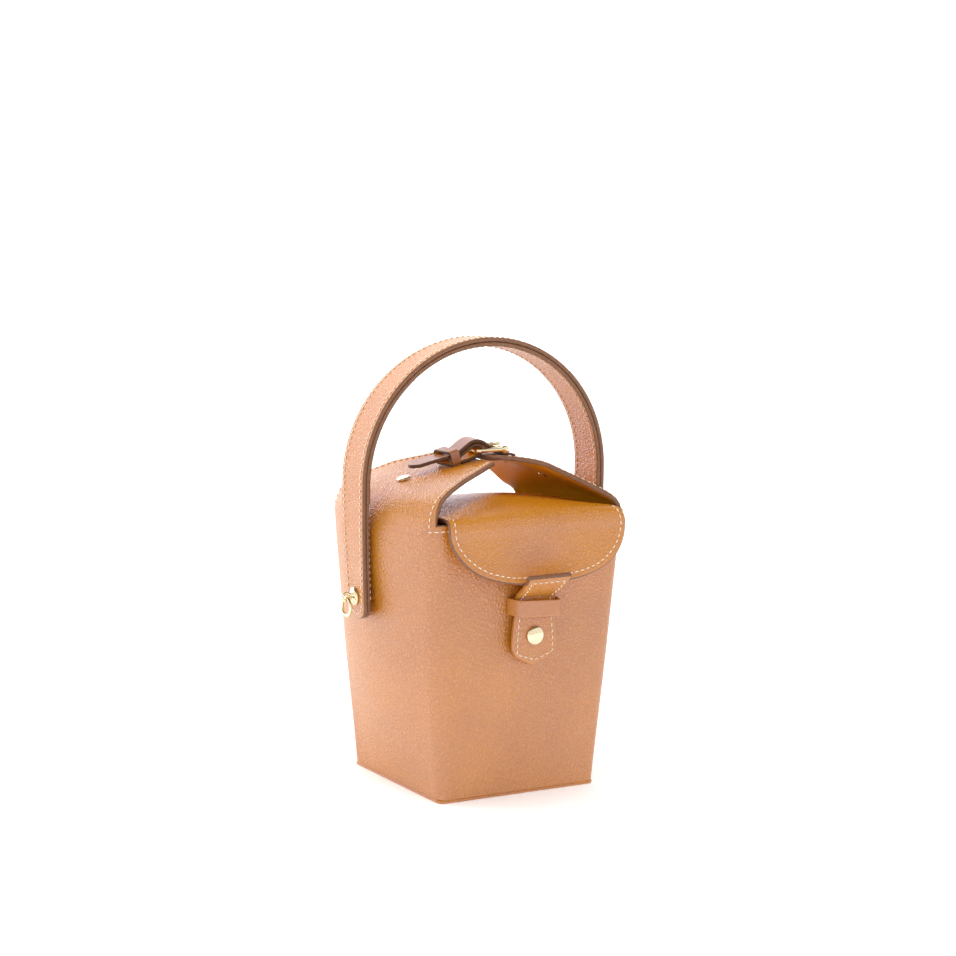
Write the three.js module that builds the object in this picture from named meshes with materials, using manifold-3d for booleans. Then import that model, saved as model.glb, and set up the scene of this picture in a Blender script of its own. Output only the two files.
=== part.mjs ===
// A small box-shaped leather handbag that stands on its base: four bulging walls, two side flaps that
// lean in to a ridge, a lid with a round tongue, a closure tab, an arched handle on two studs and a
// buckle that ties the flaps together. Millimetres, +Z up, the front faces -Y, and the origin is the
// middle of the underside.

import * as THREE from 'three';
import { mergeVertices } from 'three/addons/utils/BufferGeometryUtils.js';
import Module from 'manifold-3d';

const wasm = await Module();
wasm.setup();

// Leather and clearances
const GAP = 0.3;
const WALL_THICK = 3.0;
const BASE_THICK = 2.0;
const LID_THICK = 2.6;
const TAB_THICK = 3.0;
const PLY_THICK = 2.5;
const END_PLY_THICK = 1.6;
const STRAP_THICK = 2.1;
const FOLD_THICK = 2.1;

// Body: a square that widens from the base to the shoulder, where the front and back walls end
const BASE_HALF = 53.2;
const BASE_CORNER_RADIUS = 4.0;
const SHOULDER_HALF = 63.4;
const SHOULDER_Z = 165;
const BACK_DROP = 5.5;
const BACK_DIP = 13.0;
const BACK_DIP_FROM_Z = 130;
const CORNER_ZONE = 0.13;
const CORNER_STEPS = 3;
const PANEL_STEPS = 8;

// How far each wall stands out at its middle, by height; the right side stands out less than the left
const WALL_ROWS = [
  { z: BASE_THICK + GAP, side: 0.2, front: 0.2, back: 0.2 },
  { z: 16, side: 2.5, front: 1.6, back: 1.4 },
  { z: 34, side: 5.9, front: 3.4, back: 2.8 },
  { z: 56, side: 10.0, front: 4.8, back: 3.8 },
  { z: 80, side: 13.2, front: 5.0, back: 4.0 },
  { z: 102, side: 13.7, front: 3.6, back: 3.0 },
  { z: 122, side: 14.2, front: 2.2, back: 1.8 },
  { z: 140, side: 14.9, front: 1.2, back: 1.0 },
  { z: 154, side: 14.2, front: 0.5, back: 0.4 },
];
const RIGHT_SIDE_SHARE = 0.8;

// Side flaps from the shoulder to the ridge: the front edge, how much lower the back edge lies, the
// middle line, and how much of the corner's rounding is left
const LEFT_FLAP_ROWS = [
  { edgeX: 63.4, edgeY: 62.8, edgeZ: 166.5, backDrop: 5.5, midX: 76.0, midZ: 160.0, round: 1.0 },
  { edgeX: 62.6, edgeY: 61.2, edgeZ: 172.0, backDrop: 5.5, midX: 74.0, midZ: 167.0, round: 0.6 },
  { edgeX: 60.2, edgeY: 59.2, edgeZ: 177.4, backDrop: 5.0, midX: 69.6, midZ: 173.4, round: 0.2 },
  { edgeX: 56.8, edgeY: 56.9, edgeZ: 181.2, backDrop: 4.6, midX: 63.5, midZ: 178.3, round: 0 },
  { edgeX: 50.2, edgeY: 53.0, edgeZ: 184.5, backDrop: 4.4, midX: 55.5, midZ: 181.9, round: 0 },
  { edgeX: 44.1, edgeY: 49.4, edgeZ: 186.6, backDrop: 4.0, midX: 47.5, midZ: 184.4, round: 0 },
  { edgeX: 32.7, edgeY: 42.7, edgeZ: 189.7, backDrop: 2.0, midX: 35.5, midZ: 187.2, round: 0 },
  { edgeX: 21.1, edgeY: 35.7, edgeZ: 191.9, backDrop: 1.0, midX: 22.5, midZ: 189.7, round: 0 },
  { edgeX: 11.0, edgeY: 29.8, edgeZ: 194.0, backDrop: 0.5, midX: 11.5, midZ: 191.4, round: 0 },
  { edgeX: 4.6, edgeY: 25.6, edgeZ: 195.2, backDrop: 0.0, midX: 1.0, midZ: 192.8, round: 0 },
];
const RIGHT_FLAP_ROWS = [
  { edgeX: 65.0, edgeY: 62.8, edgeZ: 164.5, backDrop: 6.0, midX: 74.6, midZ: 159.0, round: 1.0 },
  { edgeX: 64.6, edgeY: 60.8, edgeZ: 168.7, backDrop: 8.0, midX: 72.6, midZ: 165.0, round: 0.6 },
  { edgeX: 61.8, edgeY: 58.8, edgeZ: 173.2, backDrop: 9.5, midX: 68.8, midZ: 170.4, round: 0.2 },
  { edgeX: 57.2, edgeY: 56.5, edgeZ: 176.9, backDrop: 10.5, midX: 63.5, midZ: 174.8, round: 0 },
  { edgeX: 50.8, edgeY: 53.4, edgeZ: 180.6, backDrop: 11.0, midX: 56.0, midZ: 178.6, round: 0 },
  { edgeX: 42.3, edgeY: 48.3, edgeZ: 185.4, backDrop: 10.0, midX: 46.5, midZ: 183.2, round: 0 },
  { edgeX: 33.2, edgeY: 42.9, edgeZ: 190.2, backDrop: 8.5, midX: 35.5, midZ: 187.6, round: 0 },
  { edgeX: 24.0, edgeY: 37.4, edgeZ: 194.8, backDrop: 6.0, midX: 25.0, midZ: 191.6, round: 0 },
  { edgeX: 13.1, edgeY: 31.0, edgeZ: 197.1, backDrop: 3.0, midX: 13.5, midZ: 194.4, round: 0 },
  { edgeX: 2.0, edgeY: 24.4, edgeZ: 198.2, backDrop: 0.0, midX: 1.4, midZ: 195.6, round: 0 },
];

// Lid, from the tongue's lower edge over the top to its sewn strip on the back wall: the outer face on
// its centre line, the half width, and how far the long edges drop below the centre
const LID_ROWS = [
  { x: 1.3, y: -80.0, z: 132.0, half: 58.5, drop: 0 },
  { x: 1.3, y: -77.4, z: 139.8, half: 58.5, drop: 0 },
  { x: 1.3, y: -74.0, z: 149.2, half: 58.5, drop: 0 },
  { x: 1.3, y: -71.2, z: 158.0, half: 58.5, drop: 0 },
  { x: 1.2, y: -69.9, z: 165.0, half: 58.4, drop: 0.3 },
  { x: 1.0, y: -66.2, z: 170.6, half: 57.2, drop: 1.2 },
  { x: 0.8, y: -56.0, z: 172.9, half: 55.4, drop: 3.0 },
  { x: 0.6, y: -34.0, z: 174.0, half: 53.5, drop: 5.8 },
  { x: 0.4, y: -12.0, z: 173.2, half: 53.0, drop: 6.4 },
  { x: 0.2, y: 10.0, z: 170.2, half: 52.5, drop: 6.0 },
  { x: 0, y: 32.0, z: 166.1, half: 52.0, drop: 4.4 },
  { x: 0, y: 50.0, z: 162.4, half: 51.5, drop: 2.2 },
  { x: 0, y: 60.0, z: 160.0, half: 50.5, drop: 0.8 },
  { x: 0, y: 65.9, z: 155.4, half: 49.5, drop: 0 },
  { x: 0, y: 66.4, z: 148.0, half: 49.0, drop: 0 },
  { x: 0, y: 66.1, z: 140.0, half: 49.0, drop: 0 },
  { x: 0, y: 65.9, z: 132.0, half: 48.5, drop: 0 },
];
const TONGUE_SHOULDER_ROW = 3.6;
const TONGUE_TOP_ROW = 4.6;
const TONGUE_ROUND_POWER = 2.2;
// Where the tongue is pressed in above the tab: how deep, at which row, and how far it spreads
const TONGUE_DENT = { depth: 4.6, row: 1.25, rows: 1.1, width: 0.28 };
const TONGUE_STEPS = 6;
const LID_STEPS = 17;
const LID_COLUMNS = 14;

// Closure tab, from its point up the front wall and out over the tongue's lower edge: the outer face on
// the centre line and the half width
const TAB_X = 0;
const TAB_ROWS = [
  { x: TAB_X, y: -69.0, z: 81.3, half: 14.2 },
  { x: TAB_X, y: -69.3, z: 92.5, half: 14.2 },
  { x: TAB_X, y: -69.4, z: 103.5, half: 13.6 },
  { x: TAB_X, y: -69.3, z: 112.0, half: 12.3 },
  { x: TAB_X, y: -69.5, z: 120.5, half: 12.0 },
  { x: TAB_X, y: -73.0, z: 123.8, half: 12.3 },
  { x: -0.2, y: -78.4, z: 127.5, half: 12.8 },
  { x: -0.7, y: -83.6, z: 131.8, half: 13.3 },
  { x: -1.0, y: -88.0, z: 136.0, half: 13.7 },
];
// How far the slanting lower edges rise towards the sides, and how much the shoulders' rounding adds
const TAB_POINT_ROWS = 0.62;
const TAB_SHOULDER_ROWS = 0.34;
const TAB_POINT_STEPS = 3;
const TAB_STEPS = 14;
const TAB_COLUMNS = 10;

// Plain leather strip that holds the tab down, and the round stud on the tab
const TAB_KEEPER = {
  x: 1.2, bow: 1.3, z: 115.6, height: 9.2, halfWidth: 17.0, thick: 1.6, lift: 3.4, flatHalf: 12.0, tilt: 0.06,
  steps: 14,
};
const TAB_STUD = { z: 99.0, radius: 5.6, height: 2.6, postRadius: 1.4, segments: 20 };
// The dome's profile, as shares of the stud's radius and height
const TAB_STUD_DOME = [[1, 0.27], [0.86, 0.62], [0.6, 0.82], [0.3, 0.96], [0, 1]];

// Handle: an arch of two plies on legs with round ends. The arch's back edge dips at its top, and the
// legs are pulled in and turned towards their ends, where they lie on the side walls.
const HANDLE_X = -1.1;
const HANDLE_HALF_WIDTH = 12.5;
const HANDLE_INNER_RADIUS = 77.4;
const HANDLE_SPRING_Z = 184.0;
const HANDLE_BACK_DIP = 2.0;
const HANDLE_END_Z = 104.0;
const HANDLE_END_DEPTH = 7.0;
const HANDLE_JOINT_Z = 173.0;
const LEG_PULL = 3.7;
const LEG_TURN = 1.9;
const HANDLE_ARC_STEPS = 26;
const HANDLE_LEG_STEPS = 6;
const HANDLE_COLUMNS = [-1, -0.8, 0, 0.8, 1];

// Handle studs with an eye, and the rings that hang in the eyes
const STUD = {
  z: 117.0, shank: 1.6, hole: 1.9, head: 5.4, headHeight: 2.8, washer: 4.5, washerThick: 1.4, segments: 16,
};
// The head's dome and the eye's seat on it, as shares of the head's radius and height
const STUD_DOME = [[1, 0.45], [0.8, 0.8], [0.45, 1], [0.4, 1.2], [0, 1.2]];
const EYE = { radius: 2.4, wire: 0.85, offset: 5.6 };
const RING = { radius: 5.3, wire: 0.95, hang: 0.35 };

// Cap rivets on the flaps
const FLAP_RIVET = {
  leftX: 49.5, rightX: 47.0, cap: 4.2, capThick: 1.3, shank: 1.5, hole: 1.8, lift: 0.5, segments: 18,
};
const CAP_FLAT_SHARE = 0.75;
const CAP_SIDE_SHARE = 0.5;
const CAP_INNER_SHARE = 0.7;

// Buckle on the ridge
const FRAME = {
  x: 5.2, z: 198.6, halfLength: 10.4, halfWidth: 9.0, rail: 2.6, corner: 3.2, innerCorner: 1.2, bevel: 0.6,
};
// Round knobs at the two far corners of the frame
const KNOB = { x: 14.2, y: 7.9, radius: 2.3, length: 2.9 };
const BAR_X = FRAME.x - FRAME.halfLength + FRAME.rail / 2;
const PRONG = {
  ringOuter: 2.9, ringInner: 1.85, halfThick: 1.0, armX: BAR_X + 0.2, tipX: 15.9, low: 200.05, high: 201.6,
  tipHigh: 201.8,
};
const STRAP_HALF = 6.0;
const KEEPER = {
  fromX: -23.2, toX: -17.6, innerHalf: 6.5, lowZ: 190.9, highZ: 199.8, thick: 1.4, corner: 2.2,
  lean: 0.26, skew: 0.18,
};

// Strap with the buckle, along its outer face: over the bar from the short end to the sewn end
const FOLD_RADIUS = 4.4;
const BUCKLE_STRAP_ROWS = [
  { x: -21.2, z: 194.9 },
  { x: -18.5, z: 195.7 },
  { x: -16.0, z: 196.8 },
  { x: -12.0, z: 199.4 },
  { x: -8.0, z: 201.9 },
  { x: BAR_X, z: FRAME.z + FOLD_RADIUS },
  { x: BAR_X + FOLD_RADIUS * 0.72, z: FRAME.z + FOLD_RADIUS * 0.7 },
  { x: BAR_X + FOLD_RADIUS, z: FRAME.z },
  { x: BAR_X + FOLD_RADIUS * 0.72, z: FRAME.z - FOLD_RADIUS * 0.7 },
  { x: BAR_X, z: FRAME.z - FOLD_RADIUS },
  { x: -8.5, z: 192.6 },
  { x: -11.0, z: 192.0 },
  { x: -13.8, z: 191.5 },
];
// Strap with the free tail, along its outer face: from the right flap through the buckle to the tip
const TAIL_ROWS = [
  { x: 22.8, z: 194.95 },
  { x: 18.0, z: 196.1 },
  { x: 13.6, z: 196.9 },
  { x: 11.0, z: 197.7 },
  { x: 7.5, z: 199.8 },
  { x: 3.5, z: 202.6 },
  { x: 0.0, z: 204.6 },
  { x: -4.0, z: 205.5 },
  { x: -8.0, z: 204.7 },
  { x: -12.0, z: 202.3 },
  { x: -16.0, z: 199.5 },
  { x: -20.0, z: 197.5 },
  { x: -28.0, z: 195.9 },
  { x: -38.0, z: 194 },
  { x: -46.0, z: 192.2 },
];
const PRONG_SLOT = { fromX: -0.5, toX: 9.5, halfWidth: 1.5 };
const BAR_SLOT = { fromX: -8.2, toX: 1.0, halfWidth: 1.5 };
const TAIL_RIVET = { x: 20.0, cap: 1.9, capThick: 0.9, shank: 0.9, hole: 1.2, lift: 0.3, segments: 10 };

// Finishes
const LEATHER = { color: '#c98240', roughness: 0.55, metalness: 0 };
const SHADED_LEATHER = { color: '#a8662a', roughness: 0.6, metalness: 0 };
const GOLD = { color: '#d9b878', roughness: 0.25, metalness: 1 };

const bag = new THREE.Group();

function addPiece(name, geometry, finish) {
  geometry.computeVertexNormals();
  const mesh = new THREE.Mesh(geometry, new THREE.MeshStandardMaterial(finish));
  mesh.name = name;
  bag.add(mesh);
  return mesh;
}

// Closed leather wall from a grid of points on its outer face, which run to the right along a row and
// up from row to row as seen from outside. The inner face lies one thickness behind the outer face.
function sheet(grid, thickness, { wrap = false, used = () => true } = {}) {
  const width = grid[0].length;
  const points = grid.flat();
  const normals = points.map(() => new THREE.Vector3());
  const at = (row, column) => row * width + (column % width);
  const cells = [];
  for (let row = 0; row + 1 < grid.length; row++) {
    for (let column = 0; column < (wrap ? width : width - 1); column++) {
      if (!used(row, column)) continue;
      cells.push([at(row, column), at(row, column + 1), at(row + 1, column + 1), at(row + 1, column)]);
    }
  }
  for (const [a, b, c, d] of cells) {
    const rise = points[c].clone().sub(points[a]);
    const fall = points[d].clone().sub(points[b]);
    const normal = rise.cross(fall).normalize();
    [a, b, c, d].forEach(corner => normals[corner].add(normal));
  }
  const edges = new Set();
  for (const cell of cells) {
    cell.forEach((from, k) => edges.add(`${from} ${cell[(k + 1) % 4]}`));
  }
  const positions = [];
  const slots = new Map();
  const vertex = (corner, inside) => {
    const key = `${corner} ${inside}`;
    if (!slots.has(key)) {
      const shift = normals[corner].clone().normalize().multiplyScalar(inside ? -thickness : 0);
      slots.set(key, positions.length / 3);
      positions.push(...points[corner].clone().add(shift).toArray());
    }
    return slots.get(key);
  };
  const triangles = [];
  const quad = (a, b, c, d) => triangles.push(a, b, c, a, c, d);
  for (const cell of cells) {
    quad(...cell.map(corner => vertex(corner, false)));
    quad(...cell.map(corner => vertex(corner, true)).reverse());
    cell.forEach((from, k) => {
      const to = cell[(k + 1) % 4];
      if (edges.has(`${to} ${from}`)) return;
      quad(vertex(to, false), vertex(from, false), vertex(from, true), vertex(to, true));
    });
  }
  const geometry = new THREE.BufferGeometry();
  geometry.setAttribute('position', new THREE.Float32BufferAttribute(positions, 3));
  geometry.setIndex(triangles);
  return geometry;
}

function toSolid(geometry) {
  const bare = geometry.clone();
  bare.deleteAttribute('normal');
  bare.deleteAttribute('uv');
  const merged = mergeVertices(bare, 1e-4);
  const vertProperties = new Float32Array(merged.attributes.position.array);
  const triVerts = new Uint32Array(merged.index.array);
  return new wasm.Manifold(new wasm.Mesh({ numProp: 3, vertProperties, triVerts }));
}

function fromSolid(solid) {
  const { vertProperties, triVerts } = solid.getMesh();
  const geometry = new THREE.BufferGeometry();
  geometry.setAttribute('position', new THREE.Float32BufferAttribute(vertProperties, 3));
  geometry.setIndex(Array.from(triVerts));
  return geometry;
}

function cut(geometry, ...cutters) {
  return fromSolid(cutters.reduce((solid, cutter) => solid.subtract(toSolid(cutter)), toSolid(geometry)));
}

function join(...geometries) {
  return fromSolid(geometries.map(toSolid).reduce((whole, next) => whole.add(next)));
}

// Straight round pin or cutter of some length, centred on a point and turned along an axis
function drill(point, axis, radius, length) {
  const cutter = new THREE.CylinderGeometry(radius, radius, length, 12);
  cutter.applyQuaternion(new THREE.Quaternion().setFromUnitVectors(new THREE.Vector3(0, 1, 0), axis));
  return cutter.translate(point.x, point.y, point.z);
}

function boxBetween(from, to) {
  const size = to.clone().sub(from);
  const middle = from.clone().add(to).multiplyScalar(0.5);
  return new THREE.BoxGeometry(size.x, size.y, size.z).translate(middle.x, middle.y, middle.z);
}

// Turned piece: its profile is radius and height along the axis, from axis to axis
function turned(profile, segments) {
  const outline = profile.map(([radius, height]) => new THREE.Vector2(radius, height));
  return new THREE.LatheGeometry(outline, segments);
}

// Stands a turned piece on a point with its axis along a direction
function stand(mesh, point, axis) {
  mesh.position.copy(point);
  mesh.quaternion.setFromUnitVectors(new THREE.Vector3(0, 1, 0), axis);
  return mesh;
}

// Smooth value of some columns of a table at a fractional row
function tableCurve(rows, toVector) {
  const curve = new THREE.CatmullRomCurve3(rows.map(toVector), false, 'catmullrom', 0.5);
  return row => curve.getPoint(row / (rows.length - 1));
}

function range(from, to, steps) {
  return Array.from({ length: steps + 1 }, (_, k) => from + (to - from) * k / steps);
}

// Body rows of one side, from the base to the ridge: corner at the front and back, and middle line
function sideRows(sign, flapRows, sideShare) {
  const walls = WALL_ROWS.map(({ z, side }) => {
    const corner = BASE_HALF + (SHOULDER_HALF - BASE_HALF) * z / SHOULDER_Z;
    const backDrop = BACK_DROP * (z / SHOULDER_Z) ** 2;
    const midX = corner + sideShare * side;
    return { edgeX: corner, edgeY: corner, edgeZ: z, backDrop, midX, midZ: z, round: 1 };
  });
  return [...walls, ...flapRows].map(row => ({ ...row, edgeX: sign * row.edgeX, midX: sign * row.midX }));
}

const leftRows = sideRows(-1, LEFT_FLAP_ROWS, 1);
const rightRows = sideRows(1, RIGHT_FLAP_ROWS, RIGHT_SIDE_SHARE);
const WALL_TOP_ROW = WALL_ROWS.length;

// Point on a side wall or flap: along is -1 at its front edge and 1 at its back edge
function sidePoint(row, along) {
  const out = 1 - along * along;
  const edgeZ = row.edgeZ - (along > 0 ? row.backDrop : 0);
  return new THREE.Vector3(
    row.edgeX + (row.midX - row.edgeX) * out,
    row.edgeY * along,
    edgeZ + (row.midZ - edgeZ) * out,
  );
}

// Point on the front or back wall: across is -1 at the left side and 1 at the right side
function endPoint(rowIndex, facing, across) {
  const left = sidePoint(leftRows[rowIndex], facing);
  const right = sidePoint(rightRows[rowIndex], facing);
  const bulges = WALL_ROWS[Math.min(rowIndex, WALL_ROWS.length - 1)];
  const bulge = rowIndex < WALL_TOP_ROW ? (facing < 0 ? bulges.front : bulges.back) : 0;
  const point = left.lerp(right, (across + 1) / 2);
  point.y += facing * bulge * (1 - across * across);
  const rise = Math.max(0, (point.z - BACK_DIP_FROM_Z) / (SHOULDER_Z - BACK_DIP_FROM_Z));
  point.z -= facing > 0 ? BACK_DIP * rise ** 2 * (1 - across ** 8) : 0;
  return point;
}

// The four walls in order, each read from left to right as seen from outside
const PANELS = [
  { at: (row, along) => endPoint(row, -1, along), side: false },
  { at: (row, along) => sidePoint(rightRows[row], along), side: true },
  { at: (row, along) => endPoint(row, 1, -along), side: false },
  { at: (row, along) => sidePoint(leftRows[row], -along), side: true },
];

// Stations across one wall: a half corner, the wall itself and the next half corner
const flat = 1 - CORNER_ZONE;
const STATIONS = [
  ...range(-1, -flat, CORNER_STEPS).slice(0, -1),
  ...range(-flat, flat, PANEL_STEPS),
  ...range(flat, 1, CORNER_STEPS).slice(1, -1),
];

// Point of a wall with its corner rounded off by a curve between the two walls that meet there
function roundedPoint(panelIndex, rowIndex, along) {
  const panel = PANELS[panelIndex];
  const plain = panel.at(rowIndex, along);
  const turn = 0.5 * (Math.abs(along) - flat) / CORNER_ZONE;
  if (turn <= 0) return plain;
  const end = Math.sign(along);
  const next = PANELS[(panelIndex + end + 4) % 4];
  const start = panel.at(rowIndex, end * flat);
  const corner = panel.at(rowIndex, end);
  const finish = next.at(rowIndex, -end * flat);
  const curve = new THREE.QuadraticBezierCurve3(start, corner, finish);
  return plain.lerp(curve.getPoint(turn), leftRows[rowIndex].round);
}

function bodyWrap() {
  const grid = leftRows.map((_, row) => PANELS.flatMap(
    (_, panel) => STATIONS.map(along => roundedPoint(panel, row, along)),
  ));
  const panelOf = column => PANELS[Math.floor(column / STATIONS.length)];
  const used = (row, column) => row < WALL_TOP_ROW || panelOf(column).side;
  return sheet(grid, WALL_THICK, { wrap: true, used });
}

// Point and outward direction on the middle line of a flap at a distance from the ridge
function flapSeat(rows, distance) {
  const upper = rows.findIndex((row, k) => k > WALL_TOP_ROW && Math.abs(row.midX) <= distance);
  const [low, high] = [rows[upper - 1], rows[upper]].map(row => new THREE.Vector3(row.midX, 0, row.midZ));
  const share = (Math.abs(low.x) - distance) / (Math.abs(low.x) - Math.abs(high.x));
  const slope = high.clone().sub(low).normalize();
  const axis = new THREE.Vector3(0, 1, 0).cross(slope);
  return { point: low.lerp(high, share), axis: axis.multiplyScalar(Math.sign(axis.z)) };
}

// Middle of the side wall at a height, on its outer face
function sideMiddle(rows, z) {
  const upper = rows.findIndex(row => row.midZ >= z);
  const [low, high] = [rows[upper - 1], rows[upper]];
  return low.midX + (high.midX - low.midX) * (z - low.midZ) / (high.midZ - low.midZ);
}

const LEG = HANDLE_SPRING_Z - HANDLE_END_Z;
const innerFace = HANDLE_INNER_RADIUS + PLY_THICK;
const outerFace = innerFace + GAP + PLY_THICK;

// Point on the handle at a distance along its middle from the spring line: the right leg runs up to 0,
// the arch follows, and the left leg runs down; across is -1 at the front edge and 1 at the back edge
function handlePoint(radius, distance, across) {
  const arcLength = Math.PI * radius;
  const angle = THREE.MathUtils.clamp(distance / radius, 0, Math.PI);
  const below = Math.max(-distance, distance - arcLength, 0);
  const pull = (below / LEG) ** 2 * (LEG_PULL + LEG_TURN * across);
  return new THREE.Vector3(
    HANDLE_X + (radius - pull) * Math.cos(angle),
    across * HANDLE_HALF_WIDTH,
    HANDLE_SPRING_Z + (radius - HANDLE_BACK_DIP * (across + 1) / 2) * Math.sin(angle) - below,
  );
}

// Where the stud of one leg goes in, and which way it points
function studSeat(sign) {
  const below = HANDLE_SPRING_Z - STUD.z;
  const turn = (below / LEG) ** 2 * LEG_TURN / HANDLE_HALF_WIDTH;
  const lean = 2 * below / LEG ** 2 * LEG_PULL;
  return {
    point: handlePoint(outerFace, sign > 0 ? -below : Math.PI * outerFace + below, 0),
    axis: new THREE.Vector3(sign, turn, -lean).normalize(),
  };
}

const SIDES = [
  { name: 'left', sign: -1, rows: leftRows, rivetX: FLAP_RIVET.leftX },
  { name: 'right', sign: 1, rows: rightRows, rivetX: FLAP_RIVET.rightX },
].map(side => ({ ...side, rivet: flapSeat(side.rows, side.rivetX), stud: studSeat(side.sign) }));
const tailSeat = flapSeat(rightRows, TAIL_RIVET.x);
const RIVET_DRILL = 14;
const STUD_DRILL = 40;
const STUD_SLACK = 1.3;
const studDrill = ({ stud }) => drill(stud.point, stud.axis, STUD.hole, STUD_DRILL);
const rivetDrill = ({ rivet }) => drill(rivet.point, rivet.axis, FLAP_RIVET.hole, RIVET_DRILL);
const tailDrill = () => drill(tailSeat.point, tailSeat.axis, TAIL_RIVET.hole, RIVET_DRILL);

addPiece('body_wrap', cut(
  bodyWrap(),
  ...SIDES.map(rivetDrill),
  ...SIDES.map(studDrill),
  tailDrill(),
), LEATHER);

// Square base with round corners, under the lower edge of the walls
function basePanel() {
  const inner = BASE_HALF - BASE_CORNER_RADIUS;
  const outline = new THREE.Shape();
  [[inner, inner], [-inner, inner], [-inner, -inner], [inner, -inner]].forEach(([x, y], k) => {
    outline.absarc(x, y, BASE_CORNER_RADIUS, k * Math.PI / 2, (k + 1) * Math.PI / 2, false);
  });
  return new THREE.ExtrudeGeometry(outline, { depth: BASE_THICK, bevelEnabled: false, curveSegments: 5 });
}
addPiece('base_panel', basePanel(), SHADED_LEATHER);

// Lid: the tongue ends in a round edge, so each column of the sheet starts at its own height
function lid() {
  const centre = tableCurve(LID_ROWS, row => new THREE.Vector3(row.x, row.y, row.z));
  const width = tableCurve(LID_ROWS, row => new THREE.Vector3(row.half, row.drop, 0));
  const point = (row, across) => {
    const { x: half, y: drop } = width(row);
    const away = ((row - TONGUE_DENT.row) / TONGUE_DENT.rows) ** 2 + (across / TONGUE_DENT.width) ** 2;
    const dent = TONGUE_DENT.depth * Math.exp(-away);
    return centre(row).add(new THREE.Vector3(half * across, dent, -drop * across * across));
  };
  const lowest = across => {
    const arch = (1 - Math.abs(across) ** TONGUE_ROUND_POWER) ** (1 / TONGUE_ROUND_POWER);
    return TONGUE_SHOULDER_ROW * (1 - arch);
  };
  const columns = range(-1, 1, LID_COLUMNS).map(k => Math.sin(k * Math.PI / 2));
  const tongue = range(0, 1, TONGUE_STEPS).slice(0, -1).map(share => columns.map(
    across => point(lowest(across) + (TONGUE_TOP_ROW - lowest(across)) * share, across),
  ));
  const rest = range(TONGUE_TOP_ROW, LID_ROWS.length - 1, LID_STEPS).map(row => columns.map(
    across => point(row, across),
  ));
  return sheet([...tongue, ...rest], LID_THICK);
}
addPiece('lid', lid(), LEATHER);

// Closure tab: its lower end is cut to a point
function closureTab() {
  const centre = tableCurve(TAB_ROWS, row => new THREE.Vector3(row.x, row.y, row.z));
  const width = tableCurve(TAB_ROWS, row => new THREE.Vector3(row.half, 0, 0));
  const columns = range(-1, 1, TAB_COLUMNS);
  const point = (row, across) => centre(row).addScaledVector(width(row), across);
  const tip = range(0, 1, TAB_POINT_STEPS).slice(0, -1).map(share => columns.map((across) => {
    const start = TAB_POINT_ROWS * Math.abs(across) + TAB_SHOULDER_ROWS * across ** 8;
    return point(start + (1 - start) * share, across);
  }));
  const rest = range(1, TAB_ROWS.length - 1, TAB_STEPS).map(row => columns.map(across => point(row, across)));
  return sheet([...tip, ...rest], TAB_THICK);
}
const FRONT_AXIS = new THREE.Vector3(0, -1, 0);
const tabFace = new THREE.Vector3(TAB_X, TAB_ROWS[2].y, TAB_STUD.z);
addPiece('closure_tab', cut(
  closureTab(),
  drill(tabFace, FRONT_AXIS, TAB_STUD.postRadius + GAP, 4 * TAB_THICK),
), LEATHER);

// Strip over the tab: flat across the tab, then down to the front wall on both sides
function tabKeeper() {
  const { z, height, halfWidth, thick, flatHalf, tilt, bow, steps } = TAB_KEEPER;
  const over = TAB_ROWS[3].y - TAB_KEEPER.lift - thick;
  const wall = endPoint(WALL_ROWS.findIndex(row => row.z > z), -1, 0).y - GAP - thick / 2;
  const row = level => range(-halfWidth, halfWidth, steps).map((x) => {
    const share = Math.max(0, (Math.abs(x) - flatHalf) / (halfWidth - flatHalf));
    return new THREE.Vector3(
      TAB_KEEPER.x + x - bow * (1 - (x / halfWidth) ** 2),
      over + (wall - over) * share * share,
      z - tilt * x + level * height / 2,
    );
  });
  return sheet([row(-1), row(0), row(1)], thick);
}
addPiece('tab_keeper', tabKeeper(), LEATHER);

function tabStud() {
  const { radius, height, postRadius, segments } = TAB_STUD;
  return turned([
    [0, -TAB_THICK + GAP], [postRadius, -TAB_THICK + GAP], [postRadius, GAP], [radius, GAP],
    ...TAB_STUD_DOME.map(([across, up]) => [across * radius, up * height]),
  ], segments);
}
stand(addPiece('tab_stud', tabStud(), GOLD), tabFace, FRONT_AXIS);

// How much shorter the round end of a leg is towards its edges
const endTrim = across => HANDLE_END_DEPTH * (1 - Math.sqrt(1 - across * across));
const END_RUN = 4;
const END_STEPS = 4;
const ROUND_END = LEG - HANDLE_END_DEPTH - END_RUN;

// Rows of one round end, from its tip to the straight leg, as distances below the spring line
function endRows(across) {
  const tip = LEG - endTrim(across);
  return range(tip, ROUND_END, END_STEPS).slice(0, -1);
}

function handleOuterPly() {
  const arc = Math.PI * outerFace;
  const stations = (across) => {
    const end = endRows(across);
    const leg = range(ROUND_END, 0, HANDLE_LEG_STEPS).slice(0, -1);
    const down = [...end, ...leg];
    const up = [...down].reverse();
    return [...down.map(d => -d), ...range(0, arc, HANDLE_ARC_STEPS), ...up.map(d => arc + d)];
  };
  const columns = HANDLE_COLUMNS.map(across => stations(across).map(
    distance => handlePoint(outerFace, distance, across),
  ));
  return sheet(columns[0].map((_, row) => columns.map(column => column[row])), PLY_THICK);
}

function handleInnerPly() {
  const arc = Math.PI * innerFace;
  const leg = HANDLE_SPRING_Z - HANDLE_JOINT_Z - GAP;
  const stations = [-leg, ...range(0, arc, HANDLE_ARC_STEPS), arc + leg];
  const rows = stations.map(distance => [-1, 0, 1].map(
    across => handlePoint(innerFace, distance, across),
  ));
  return sheet(rows, PLY_THICK);
}

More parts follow.
